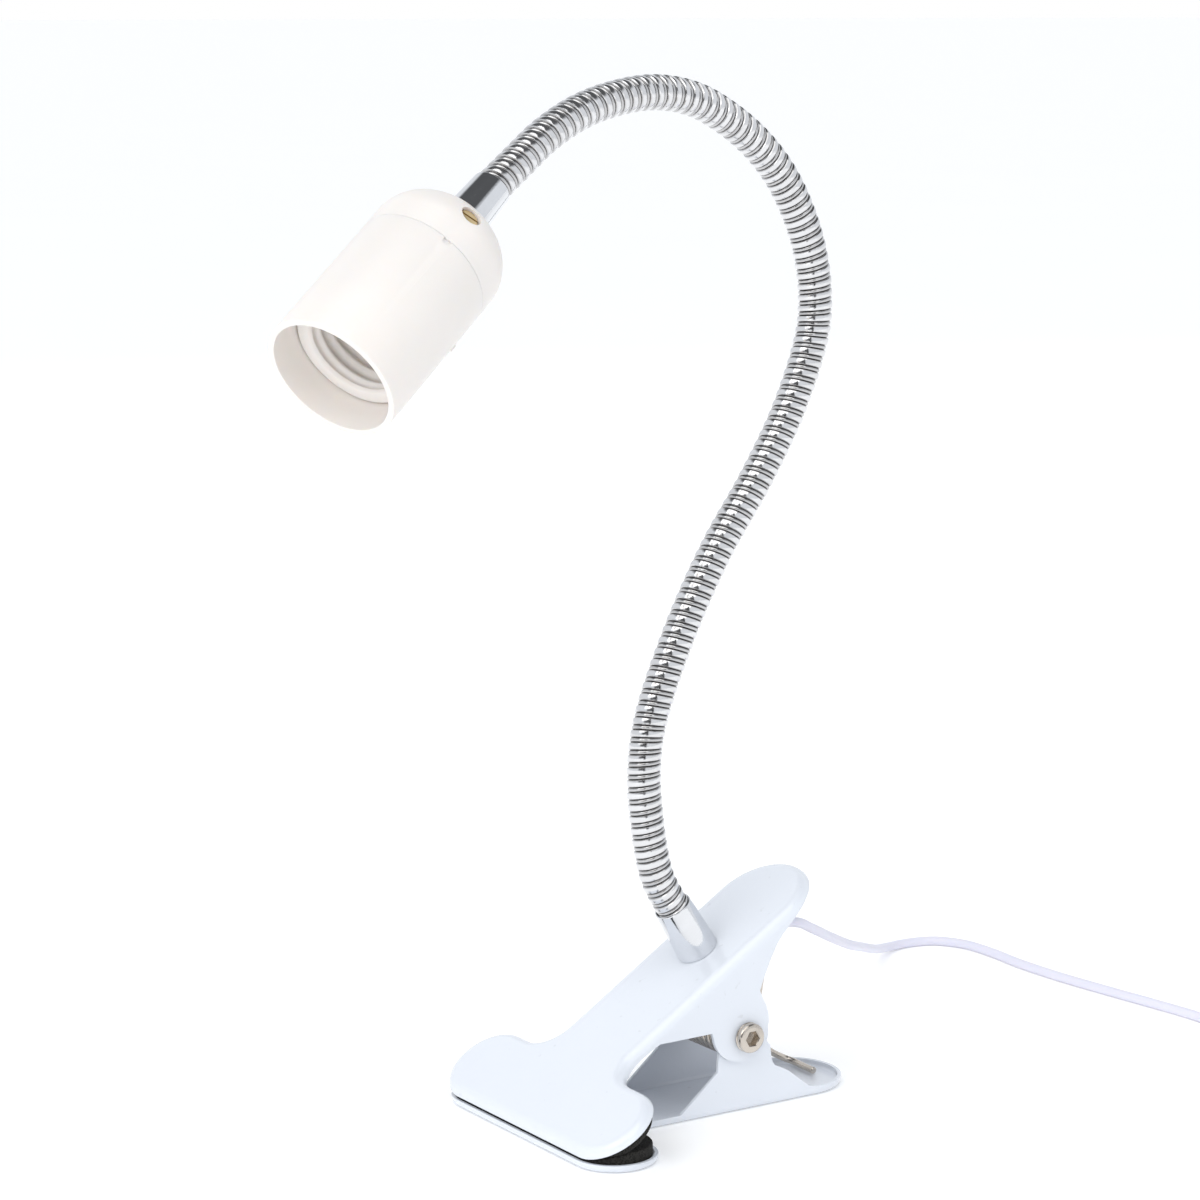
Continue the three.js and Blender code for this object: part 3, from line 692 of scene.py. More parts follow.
def prism(name: str, outline: Sequence[Flat], low: float, high: float) -> Thing:
    """Solid from a flat outline, from height low to high."""
    count = len(outline)
    points = [(x, y, low) for x, y in outline] + [(x, y, high) for x, y in outline]
    faces = [tuple(range(count)), tuple(range(count, 2 * count))]
    return mesh_object(name, points, faces + quads(2, count, rows_close=False))


def cross_prism(name: str, outline: Sequence[Flat], half: float) -> Thing:
    """Solid from an outline in X and Z, pushed half its width to each side of Y = 0."""
    thing = prism(name, outline, -half, half)
    turn = Matrix(((1, 0, 0, 0), (0, 0, 1, 0), (0, 1, 0, 0), (0, 0, 0, 1)))
    thing.data.transform(turn)
    tidy_mesh(thing)
    return thing


STRAIGHT = Quaternion()


def about(axis: str, degrees: float) -> Quaternion:
    """Turn about the X, Y or Z axis."""
    return Quaternion([float(letter == axis) for letter in "XYZ"], math.radians(degrees))


def placed(thing: Thing, origin: Point = (0.0, 0.0, 0.0), turn: Quaternion = STRAIGHT) -> Thing:
    """Moves a mesh from its own frame to where it belongs.

    Args:
        thing: the mesh object, built about its own origin.
        origin: where that origin belongs, in millimetres.
        turn: how the piece is turned there.

    Returns:
        The same object.
    """
    thing.data.transform(Matrix.Translation(Vector(origin) * MM) @ turn.to_matrix().to_4x4())
    return thing


def lathe(name: str, profile: Sequence[Flat], sides: int = 96, closed: bool = True,
          swell: Optional[Callable[[np.ndarray, np.ndarray], np.ndarray]] = None) -> Thing:
    """Turned piece about its Z axis.

    Args:
        name: the piece's name.
        profile: radius and height corners; a closed profile joins its last corner to its first.
        sides: steps round the axis.
        closed: False for a profile that begins and ends on the axis.
        swell: change of radius by height and angle, for threads.

    Returns:
        The object.
    """
    radius = np.array([p[0] for p in profile], float)
    height = np.array([p[1] for p in profile], float)
    points = []
    for j in range(sides):
        angle = 2 * math.pi * j / sides
        grown = radius + (swell(height, np.full(len(profile), angle)) if swell else 0.0)
        points += [(r * math.cos(angle), r * math.sin(angle), z) for r, z in zip(grown, height)]
    return mesh_object(name, points, quads(sides, len(profile), columns_close=closed))


def rod(name: str, radius: float, low: float, high: float, sides: int) -> Thing:
    """Plain round bar about the Z axis, from height low to high."""
    return lathe(name, [(0, low), (radius, low), (radius, high), (0, high)], sides, closed=False)


def tube(name: str, path: SmoothPath, radius: float, start: float, end: float, step: float,
         sides: int = 16) -> Thing:
    """Round bar with slightly rounded ends along a stretch of a path.

    Args:
        name: the piece's name.
        path: the centreline.
        radius: radius of the bar.
        start: where it begins along the path.
        end: where it ends.
        step: distance between rings.
        sides: points round it.

    Returns:
        The object.
    """
    rings = max(2, int(round((end - start) / step)))
    s = np.linspace(start, end, rings + 1)
    lip = min(0.25 * radius, 0.2 * (end - start))
    s = np.concatenate([[start], [start + lip], s[1:-1], [end - lip], [end]])
    grown = np.full(len(s), radius)
    grown[[0, -1]] = radius - lip
    angle = np.linspace(0, 2 * math.pi, sides, endpoint=False)
    where, turn = np.meshgrid(s, angle, indexing="ij")
    points = path.around(where, turn, np.repeat(grown[:, None], sides, axis=1)).reshape(-1, 3)
    faces = [tuple(range(sides)), tuple(range((len(s) - 1) * sides, len(s) * sides))]
    return mesh_object(name, points, faces + quads(len(s), sides, rows_close=False))


def dress(thing: Thing, finish: Finish) -> Thing:
    """Gives a piece its finish's material."""
    material = finish.material()
    if "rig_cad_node" in thing:
        for slot in thing.material_slots:
            slot.link = "OBJECT"
            slot.material = material
    else:
        thing.data.materials.clear()
        thing.data.materials.append(material)
    return thing


def settle_piece(thing: Thing, finish: Finish, body: str, *nodes: str) -> Thing:
    """Dresses a piece, lets it ride on a body and stand for its CAD nodes, and reports it."""
    dress(thing, finish)
    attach(thing, body)
    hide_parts(*nodes)
    LOG.info("%s: %d faces, %s, on %s", thing.name, len(thing.data.polygons), finish.name, body)
    return thing


def dress_nodes(finish: Finish, *nodes: str) -> None:
    """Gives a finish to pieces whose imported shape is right."""
    for node in nodes:
        dress(frame["nodes"][node], finish)
        LOG.info("%s: kept shape, %s", node, finish.name)


# ---- clamp ---------------------------------------------------------------------------------------------

@dataclass
class Jaw:
    """One pressed steel jaw: wide head, straight body, round tail, and flanges cut to a side outline."""

    name: str
    front: float
    rear: float
    head_half: float
    body_half: float
    tail: float
    fillet: float
    side: List[Flat]
    opens_up: bool
    sheet: float = 1.2
    bend: float = 2.6
    depth: float = 44.0
    tail_steps: int = 36
    lobe_steps: int = 28
    fillet_steps: int = 12
    bend_steps: int = 7

    def plan(self, inset: float) -> List[Flat]:
        """Outline seen square to the sheet, drawn smaller by the inset, always with the same point count."""
        half = self.body_half - inset
        front = self.front + inset
        rear = self.rear - inset
        r = (rear - front) / 2
        lobe = self.head_half - inset - r
        c = self.fillet + inset
        out = arc((self.tail, 0), half, -90, 90, self.tail_steps)
        out += arc((rear + c, half + c), c, -90, -180, self.fillet_steps)
        out += arc((front + r, lobe), r, 0, 180, self.lobe_steps)
        out += arc((front + r, -lobe), r, 180, 360, self.lobe_steps)
        out += arc((rear + c, -half - c), c, 180, 90, self.fillet_steps)
        return out

    def pressing(self) -> Thing:
        """The pressed blank, with its flange at full depth all round.

        Returns:
            A closed solid about the sheet's own frame, flat face at height 0.
        """
        rings: List[Tuple[float, float]] = [(0.0, -self.depth)]
        for i in range(self.bend_steps + 1):
            a = math.pi / 2 * i / self.bend_steps
            rings.append((self.bend * (1 - math.cos(a)), -self.bend * (1 - math.sin(a))))
        inner = self.bend - self.sheet
        for i in range(self.bend_steps, -1, -1):
            a = math.pi / 2 * i / self.bend_steps
            rings.append((self.bend - inner * math.cos(a), -self.bend + inner * math.sin(a)))
        rings.append((self.sheet, -self.depth))
        sign = -1.0 if self.opens_up else 1.0
        points = [(x, y, sign * z) for inset, z in rings for x, y in self.plan(inset)]
        count = len(points) // len(rings)
        top = self.bend_steps + 1
        faces = quads(len(rings), count)
        del faces[top * count:(top + 1) * count]
        faces.append(tuple(range(top * count, (top + 1) * count)))
        faces.append(tuple(range((top + 1) * count, (top + 2) * count)))
        return mesh_object(self.name, points, faces)


@dataclass
class Clamp:
    """Both jaws with their pads, the hinge screw and nut, and the torsion spring."""

    pin_height: float = 22.5
    plate_height: float = 48.8
    tilt: float = math.radians(32.3)
    sheet: float = 1.2
    gap: float = 0.3
    ear: float = 8.6
    upper_ear: float = 9.5
    upper_ear_at: Flat = (-2.2, 25.0)
    width: float = 60.0
    neck_hole_at: float = -6.6
    neck_hole: float = 4.3
    pin_hole: float = 3.0
    upper_half: float = 17.1
    edge_round: float = 0.28
    pad_inset: float = 1.6
    pad_thick: float = 4.0
    pad_round: float = 0.6
    press_height: float = 2.75
    press_from: float = -67.2
    screw_head: float = 2.6
    screw_shank: float = 2.6
    screw_past: float = 4.0
    wire: float = 1.0
    coil: float = 6.5
    coil_half: float = 10.4
    coil_turns: int = 8
    coil_from: float = -11.0
    coil_to: float = 50.0
    coil_step: float = 30.0
    twist_start: Point = (-0.00203, -0.00678, 0.02453)
    twist_end: Point = (0.00254, 0.00847, 0.01996)

    @property
    def plate_turn(self) -> Quaternion:
        """How the sloping upper jaw is turned."""
        return Quaternion((0, 1, 0), -self.tilt)

    def on_plate(self, thing: Thing) -> Thing:
        """Moves a piece built square to the upper jaw's sheet to its place."""
        return placed(thing, (0, 0, self.plate_height), self.plate_turn)

    def plate_top(self, x: float) -> float:
        """Height of the upper jaw's top face at a distance along the lamp."""
        return self.plate_height + x * math.tan(self.tilt)

    def lower(self) -> Jaw:
        """The lower jaw, which is the foot of the lamp."""
        rim, tray = 2.4, 2.9
        side = [(-80, -1), (-80, rim), (-21.8, rim), (-15.4, 7.7), (-9.2, 12.8)]
        side += arc((0, self.pin_height), self.ear, 190, -20, 36)
        side += [(9.4, 18), (9.6, 16.4), (9.8, 14.7), (10.2, 13.1), (11.1, 11.8), (12.6, 11.1), (15.9, 9.4),
                 (20.4, 5.9), (23.4, 3.6), (26, tray), (self.width, tray), (self.width, -1)]
        return Jaw("lower_jaw_pressing", front=-67.7, rear=-42.9, head_half=44.0, body_half=15.6, tail=27.2,
                   fillet=7.0, side=side, opens_up=True, bend=2.0)

    def upper(self) -> Jaw:
        """The upper jaw, with the handle and the seat of the neck."""
        rim = 2.6
        drop = rim / math.cos(self.tilt)
        side = [(-90, 120), (-90, self.plate_top(-90) - drop), (-45, self.plate_top(-45) - drop), (-41.6, 18),
                (-36.7, 21.5), (-33.4, 23.5), (-30, 25.1), (-12.2, 25.3)]
        side += arc(self.upper_ear_at, self.upper_ear, 190, 350, 36)
        side += [(7.6, 26), (7.4, 28.4), (6.6, 30.9), (5.6, 32.7), (4.4, 35.4), (5.9, 39.3), (7.9, 43.7),
                 (10.4, 48.4), (12.4, 51), (15.3, 53.9), (18.4, 56.8), (22, self.plate_top(22) - drop),
                 (60, self.plate_top(60) - drop), (60, 120)]
        return Jaw("upper_jaw_pressing", front=-81.2, rear=-55.6, head_half=45.2, body_half=self.upper_half,
                   tail=16.2, fillet=9.0, side=side, opens_up=False, depth=60.0, bend=3.0)

    def build_jaws(self) -> None:
        """Presses, cuts, drills and paints both jaws."""
        for jaw in (self.lower(), self.upper()):
            sheet = jaw.pressing()
            upper = not jaw.opens_up
            if upper:
                self.on_plate(sheet)
            cut(sheet, cross_prism("side outline", jaw.side, self.width), "INTERSECT")
            hole = rod("hole", self.pin_hole, -self.width, self.width, 40)
            cut(sheet, placed(hole, (0, 0, self.pin_height), about("X", 90)))
            if upper:
                seat = placed(rod("seat", self.neck_hole, -9, 9, 48), (self.neck_hole_at, 0, 0))
                cut(sheet, self.on_plate(seat))
            soften(sheet, self.edge_round)
            settle_piece(sheet, PAINT, "upper" if upper else "base", "upper_jaw" if upper else "lower_jaw")

    def pad_plan(self, jaw: Jaw) -> List[Flat]:
        """Outline of a pad, inside the rim of its jaw's head."""
        inset = self.pad_inset
        front, rear = jaw.front + inset, jaw.rear - inset
        r = (rear - front) / 2
        lobe = jaw.head_half - inset - r
        return arc((front + r, lobe), r, 0, 180, 28) + arc((front + r, -lobe), r, 180, 360, 28)

    def squeeze(self, x: float, side: int) -> float:
        """Height of the face where the two pads press on each other, seen from below (-1) or above (1)."""
        half = self.tilt / 2
        middle = self.press_height + (x - self.press_from) * math.tan(half)
        return middle + side * self.gap / 2 / math.cos(half)

    def build_pads(self) -> None:
        """Cuts both foam pads and wedges them where the shut jaws press."""
        low_face = self.sheet + self.gap
        for jaw, side in ((self.lower(), -1), (self.upper(), 1)):
            upper = side > 0
            plan = self.pad_plan(jaw)
            if upper:
                pad = prism("upper_foam_pad", plan, -low_face - self.pad_thick, -low_face)
                self.on_plate(pad)
            else:
                pad = prism("lower_foam_pad", plan, low_face, low_face + self.pad_thick)
            far = 80 if upper else -5
            wedge = cross_prism("wedge", [(-90, far), (-90, self.squeeze(-90, side)),
                                          (-20, self.squeeze(-20, side)), (-20, far)], self.width)
            cut(pad, wedge, "INTERSECT")
            soften(pad, self.pad_round, 3)
            settle_piece(pad, FOAM, "upper" if upper else "base", "upper_pad" if upper else "lower_pad")

    def build_hinge(self) -> None:
        """Turns the barrel screw with its hexagon socket, and the barrel nut."""
        thick, shank = self.screw_head, self.screw_shank
        out = self.upper_half + self.gap + thick
        for name, side, length, node in (("hinge_screw", -1, out + self.screw_past, "pivot_screw"),
                                         ("hinge_nut", 1, out - self.screw_past - self.gap, "pivot_nut")):
            face = [(0, 0.0), (3.2, 0.0), (3.7, 0.1), (4.12, 0.38), (4.35, 0.85), (4.35, 1.5), (4.25, 1.6),
                    (3.95, 1.7), (3.95, 1.95), (4.2, 2.05), (4.35, 2.2), (4.35, 2.45), (4.2, thick),
                    (shank, thick), (shank, length - 0.3), (shank - 0.3, length), (0, length)]
            turned = lathe(name, face, 64, closed=False)
            if side < 0:
                cut(turned, lathe("socket", [(0, -1), (2.5, -1), (2.5, 0.05), (2.31, 0.25), (2.31, 2.8),
                                             (0, 3.3)], 6, closed=False))
            soften(turned, 0.1, 2, 45.0)
            placed(turned, (0, side * out, self.pin_height), about("X", side * 90))
            settle_piece(turned, NICKEL, "base", node)

    def build_spring(self) -> None:
        """Winds the torsion spring round the pin, one leg under the plate and one bent over the tray."""
        start, end = self.coil_from, self.coil_to - self.coil_turns * 360.0
        steps = round((start - end) / self.coil_step)
        points: List[Point] = [(12.6, -self.coil_half, 52.4), (9.6, -self.coil_half, 37.5)]
        for i in range(steps + 1):
            a = math.radians(start + (end - start) * i / steps)
            points.append((self.coil * math.cos(a), self.coil_half * (-1 + 2 * i / steps),
                           self.pin_height + self.coil * math.sin(a)))
        points += [(18, self.coil_half, 15.4), (28, self.coil_half, 6.6), (33.2, self.coil_half - 0.3, 3.6),
                   (35, 8.2, 2.8), (35.1, 3, 2.6), (34.9, -2.4, 2.6)]
        path = SmoothPath(points, 12)
        spring = tube("torsion_spring", path, self.wire, 0, path.length, 0.9, 12)
        dress(spring, NICKEL)
        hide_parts("pivot_spring")
        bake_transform(spring)
        LOG.info("%s: %d faces, twists between upper and base", spring.name, len(spring.data.polygons))

    def build(self) -> None:
        """Builds the whole clamp."""
        self.build_jaws()
        self.build_pads()
        self.build_hinge()
        self.build_spring()


# ---- lamp holder ---------------------------------------------------------------------------------------

@dataclass
class Holder:
    """Bulb holder: skirt, domed cap with its sleeve and grub screw, threaded insert, block and contacts."""

    mouth: Point = (-143.1, -35.9, 221.4)
    axis: Point = (0.773, 0.27, 0.574)
    radius: float = 18.7
    wall: float = 1.7
    skirt: float = 42.6
    joint: float = 0.3
    cap_flat: float = 6.5
    cap_wall: float = 2.0
    cap_top: float = 62.9
    dome_over: float = 0.9
    cap_hole: float = 6.5
    sleeve: float = 15.0
    thread_face: float = 10.0
    thread_end: float = 37.0
    thread_radius: float = 12.75
    thread_depth: float = 0.55
    thread_pitch: float = 3.62
    grub_up: float = 19.5
    grub_round: float = -106.0
    grub_sunk: float = 0.9
    grub_half: float = 1.6
    notch_round: float = -108.0
    mark_height: float = 30.5
    mark_round: float = -21.0
    strand: float = 0.6
    sides: int = 128

    @property
    def turn(self) -> Quaternion:
        """How the holder is turned from standing on its mouth."""
        return Vector((0, 0, 1)).rotation_difference(Vector(self.axis).normalized())

    def put(self, thing: Thing) -> Thing:
        """Moves a piece built about the holder's own axis to its place."""
        return placed(thing, self.mouth, self.turn)

    def dome(self, radius: float, rise: float, steps: int) -> List[Flat]:
        """Quarter of an oval from the side of the cap up to the rim of its hole."""
        low = self.skirt + self.joint + self.cap_flat
        last = math.acos(self.cap_hole / radius)
        return [(radius * math.cos(last * i / steps), low + rise * math.sin(last * i / steps))
                for i in range(steps + 1)]

    def build_skirt(self) -> None:
        """Turns the skirt, with a small sprue mark and the moulding's locating notch."""
        r, w, h = self.radius, self.wall, self.skirt
        outline = rounded([(r - w, 0), (r, 0), (r, h + 0.14), (r - 0.9, h + 0.14), (r - w, h - 0.8)], 0.16, 3)
        skirt = lathe("holder_skirt_moulding", outline, self.sides)
        notch = prism("notch", rounded([(-1.1, -1.5), (1.1, -1.5), (1.1, 0.9), (-1.1, 0.9)], 0.5), -0.6, 1.2)
        placed(notch, turn=about("X", 90))
        placed(notch, (0, -r, h))
        cut(skirt, placed(notch, turn=about("Z", self.notch_round + 90)))
        mark = lathe("mark", [(0, -0.35), (0.9, -0.25), (1.1, 0.3), (0.9, 0.5), (0, 0.5)], 24, closed=False)
        placed(mark, turn=about("Y", 90))
        placed(mark, (r - 0.1, 0, self.mark_height))
        cut(skirt, placed(mark, turn=about("Z", self.mark_round)), "UNION")
        smooth(skirt)
        self.put(skirt)
        settle_piece(skirt, HOLDER_WHITE, "holder", "holder_skirt")

    def build_cap(self) -> None:
        """Turns the domed cap and sinks the seat of the grub screw beside the sleeve."""
        low = self.skirt + self.joint - 0.12
        spring = self.skirt + self.joint + self.cap_flat
        rise = self.cap_top - spring + self.dome_over
        outer = [(self.radius - 0.16, low), (self.radius - 0.04, low + 0.04), (self.radius, low + 0.16)]
        outer += self.dome(self.radius, rise, 22)
        inner = self.dome(self.radius - self.cap_wall, rise - self.cap_wall, 14)[::-1]
        profile = outer + inner + [(self.radius - self.cap_wall, low)]
        cap = lathe("holder_cap_moulding", profile, self.sides)
        up, turn = math.radians(self.grub_up), math.radians(self.grub_round)
        spoke = Vector((math.cos(turn), math.sin(turn), 0))
        place = spoke * self.radius * math.cos(up) + Vector((0, 0, spring + rise * math.sin(up)))
        out = (spoke * math.cos(up) / self.radius + Vector((0, 0, math.sin(up) / rise))).normalized()
        lean = Vector((0, 0, 1)).rotation_difference(out)
        seat = lathe("seat", [(0, -3.5), (3.0, -3.5), (3.0, -0.25), (3.2, 0.05), (3.2, 3.5), (0, 3.5)], 48,
                     closed=False)
        cut(cap, placed(seat, tuple(place), lean))
        soften(cap, 0.15, 2, 40.0)
        self.put(cap)
        settle_piece(cap, HOLDER_WHITE, "holder", "holder_cap")
        half = self.grub_half
        grub = lathe("grub_screw", [(0, -half), (2.4, -half), (2.6, 0.2 - half), (2.6, half - 0.3),
                                    (2.3, half), (0, half)], 40, closed=False)
        slot = prism("slot", [(-3, -0.35), (3, -0.35), (3, 0.35), (-3, 0.35)], half / 2, 3)
        cut(grub, slot)
        soften(grub, 0.08, 1, 40.0)
        self.put(placed(grub, tuple(place - out * (self.grub_sunk + half)), lean))
        settle_piece(grub, BRASS, "holder", "cap_grub_screw")

    def build_insert(self) -> None:
        """Turns the threaded insert that takes the bulb, with its round thread running in a helix."""
        face, end, r = self.thread_face, self.thread_end, self.thread_radius
        heights = np.linspace(face + 1.0, end - 0.6, 110)
        bore = [(r + 0.9, face), (r + 0.45, face + 0.35)] + [(r, float(z)) for z in heights]
        profile = bore + [(r + 0.2, end), (r + 1.85, end), (r + 2.05, end - 0.3), (r + 2.05, face + 3.0),
                          (r + 2.6, face + 2.2), (16.4, face + 2.0), (16.6, face + 1.8), (16.6, face + 0.3),
                          (16.3, face)]
        rim = len(bore)

        def thread(height: np.ndarray, angle: np.ndarray) -> np.ndarray:
            """Change of radius along the thread, fading in and out at its ends."""
            fade = np.clip((height - face - 0.8) / 2.2, 0, 1) * np.clip((end - 1.0 - height) / 2.0, 0, 1)
            wave = np.cos(2 * math.pi * height / self.thread_pitch - angle) * self.thread_depth * fade
            wave[rim:] = 0.0
            return wave

        insert = lathe("thread_insert_moulding", profile, 96, swell=thread)
        self.put(insert)
        settle_piece(insert, HOLDER_WHITE, "holder", "thread_insert")

    def build_sleeve(self) -> None:
        """Turns the chrome sleeve between the cap and the neck."""
        top = self.cap_top
        tip = top + self.sleeve
        outline = [(4.95, top - 6.5), (6.2, top - 6.5), (6.2, top), (6.18, top + 1.2), (5.55, tip - 0.5),
                   (5.5, tip), (5.08, tip), (5.08, top - 1.0), (4.95, top - 2.0)]
        sleeve = lathe("top_chrome_sleeve", rounded(outline, 0.2, 3), 72)
        self.put(sleeve)
        settle_piece(sleeve, CHROME, "holder", "top_sleeve")

    def build_leads(self) -> None:
        """Lays the two stripped cores from the neck to the terminals."""
        tip = self.cap_top + self.sleeve
        for side, node in ((-1, "lead_wire_l"), (1, "lead_wire_n")):
            path = SmoothPath([(side * 0.9, 0, tip - 11.5), (side * 1.4, 0, self.cap_top - 4),
                               (side * 3, side * 1.5, 55.6), (side * 5.4, side * 1.5, 52),
                               (side * 5.2, side * 0.8, 48)])
            core = tube(f"stripped_core_{node[-1]}", path, self.strand, 0, path.length, 0.8, 12)
            self.put(core)
            settle_piece(core, COPPER, "holder", node)

    def build(self) -> None:
        """Builds the whole holder."""
        self.build_skirt()
        self.build_cap()
        self.build_insert()
        self.build_sleeve()
        self.build_leads()
        dress_nodes(CERAMIC, "contact_block")
        dress_nodes(BRASS, "centre_contact", "side_contact", "terminal_screw_l", "terminal_screw_n")


# ---- gooseneck -----------------------------------------------------------------------------------------

@dataclass
class Gooseneck:
    """Neck wound from a wide and a narrow wire, its lead inside, and the sleeve at its foot."""

    radius: float = 5.0
    pitch: float = 3.35
    wide_share: float = 0.64
    groove: float = 0.75
    narrow_drop: float = 0.22
    wall: float = 0.7
    around: int = 28
    hold: float = 9.0
    lead: float = 1.2
    lead_step: float = 2.5
    clear: float = 4.0
    bend_half: float = 20.0
    end_inside: float = 4.5
    base_sleeve: float = 16.7
    joints: Tuple[float, ...] = (30, 78, 126, 174, 222, 270, 318)
    bodies: Tuple[str, ...] = ("upper", "neck_2", "neck_3", "neck_4", "neck_5", "neck_6", "neck_7", "holder")
    bands: Tuple[float, ...] = (0.0, 0.035, 0.10, 0.22, 0.32, 0.42, 0.54, 0.605, 0.64, 0.675, 0.74, 0.82,
                                0.90, 0.965)
    route: Tuple[Point, ...] = (
        (-19.3, 0, 67.6), (-21.6, 0, 75.5), (-23.2, 0.5, 87), (-23.7, 1, 98.5), (-22.3, 1.5, 109.5),
        (-18.6, 2, 120.5), (-8.7, 3, 141), (3.2, 4, 160.7), (17.4, 5, 179.7), (29.9, 6, 199.6),
        (38.2, 6.5, 221), (38.8, 6.5, 233), (36.7, 6.3, 244.2), (32.4, 6, 255), (25.9, 5.5, 265.5),
        (17.2, 4.7, 274.5), (5.9, 3.5, 282.2), (-6.8, 1.8, 287.8), (-20.9, -0.3, 290),
        (-35.1, -2.8, 288.8), (-49.5, -5.7, 285.2), (-62.6, -9, 279.3), (-72.6, -12, 273),
    )

    def path(self, clamp: Clamp, holder: Holder) -> SmoothPath:
        """Centreline from inside the foot sleeve to inside the top sleeve."""
        foot = Vector((0, 0, clamp.plate_height)) + clamp.plate_turn @ Vector((clamp.neck_hole_at, 0, 0))
        up = clamp.plate_turn @ Vector((0, 0, 1))
        axis = Vector(holder.axis).normalized()
        tip = holder.cap_top + holder.sleeve
        low = [foot + up * (self.base_sleeve - d) for d in (self.hold, self.hold / 2, 0)]
        high = [Vector(holder.mouth) + axis * (tip - d) for d in (0, self.hold / 2, self.hold)]
        return SmoothPath([tuple(p) for p in low] + list(self.route) + [tuple(p) for p in high])

    def skin_radius(self, phase: np.ndarray) -> np.ndarray:
        """Radius of the winding at a share of one turn: a wide crowned wire, then a narrow one set lower."""
        wide = np.abs(2 * phase / self.wide_share - 1)
        narrow = np.abs(2 * (phase - self.wide_share) / (1 - self.wide_share) - 1)
        on_wide = self.radius - self.groove * wide ** 6
        on_narrow = self.radius - self.narrow_drop - (self.groove - self.narrow_drop) * narrow ** 3
        return np.where(phase < self.wide_share, on_wide, on_narrow)

    def skin(self, name: str, path: SmoothPath, start: float, end: float) -> Thing:
        """One stretch of the winding, cut square at both ends.

        Args:
            name: the piece's name.
            path: the neck's centreline.
            start: where the stretch begins along it.
            end: where it ends.

        Returns:
            The closed solid, with a "groove" attribute that is 1 at the bottom of the grooves.
        """
        first = math.floor(start / self.pitch) - 2
        rows = (math.ceil(end / self.pitch) + 2 - first) * self.around
        turn = np.arange(rows) / self.around + first
        share = np.array(self.bands + (1.0,))
        s = self.pitch * (turn[:, None] + share[None, :])
        s = np.clip(s, start, end)
        phase = np.mod(s / self.pitch - turn[:, None], 1.0)
        radius = self.skin_radius(phase)
        angle = np.repeat((2 * math.pi * turn)[:, None], len(share), axis=1)
        points = path.around(s, angle, radius).reshape(-1, 3)
        depth = ((self.radius - radius) / self.groove).reshape(-1)
        columns = len(share)
        flat_s = s.reshape(-1)
        faces = []
        for face in quads(rows, columns, rows_close=False, columns_close=False):
            reach = flat_s[list(face)]
            if reach.max() > start and reach.min() < end:
                faces.append(face)
        used = sorted({v for face in faces for v in face})
        number = {v: i for i, v in enumerate(used)}
        faces = [tuple(number[v] for v in face) for face in faces]
        thing = bpy.data.objects.new(name, bpy.data.meshes.new(name))
        thing.data.from_pydata([tuple(points[v] * MM) for v in used], [], faces)
        groove = thing.data.attributes.new("groove", "FLOAT", "POINT")
        groove.data.foreach_set("value", depth[used].astype(np.float32))
        bpy.context.scene.collection.objects.link(thing)
        tidy_mesh(thing, 2e-6)
        shell = thing.modifiers.new("wall", "SOLIDIFY")
        shell.thickness = self.wall * MM
        shell.offset = -1
        settle(thing)
        smooth(thing)
        return thing

    def build(self, clamp: Clamp, holder: Holder) -> None:
        """Builds the winding and the lead in stretches cut between the joints, and the foot sleeve."""
        path = self.path(clamp, holder)
        bends = [s + self.hold for s in self.joints]
        middles = [(a + b) / 2 for a, b in zip(bends, bends[1:])]
        cuts = [self.end_inside, *middles, path.length - self.end_inside]
        for k, (start, end) in enumerate(zip(cuts, cuts[1:])):
            nodes = [k + 1] if k + 2 < len(self.bodies) else [k + 1, k + 2]
            winding = self.skin(f"neck_winding_{k + 1}", path, start, end)
            core = tube(f"neck_core_{k + 1}", path, self.lead, start, end, self.lead_step, 12)
            low = max(start + self.clear, bends[k] - self.bend_half)
            high = min(end - self.clear, bends[k] + self.bend_half)
            for thing, finish, node in ((winding, NECK_CHROME, "neck_link"), (core, CORD_WHITE, "neck_lead")):
                dress(thing, finish)
                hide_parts(*[f"{node}_{n}" for n in nodes])
                tuple(path.at(low) * MM)
                tuple(path.at(high) * MM)
                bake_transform(thing)
            LOG.info("%s: %d faces, bends between %s and %s", winding.name, len(winding.data.polygons),
                     self.bodies[k], self.bodies[k + 1])
        self.build_sleeve(clamp)

    def build_sleeve(self, clamp: Clamp) -> None:
        """Turns the tapered chrome sleeve on the plate."""
        h, low, tip = self.base_sleeve, 6.2, 5.5
        outline = [(4.3, 0.05), (low, 0.05), (low - 0.02, 1.2), (tip + 0.05, h - 0.5), (tip, h), (5.08, h),
                   (5.08, 6.6), (4.3, 6.6)]
        sleeve = lathe("foot_sleeve", rounded(outline, 0.28, 3), 72)
        placed(sleeve, (clamp.neck_hole_at, 0, 0))
        clamp.on_plate(sleeve)
        settle_piece(sleeve, CHROME, "upper", "base_sleeve")


# ---- supply cord ---------------------------------------------------------------------------------------

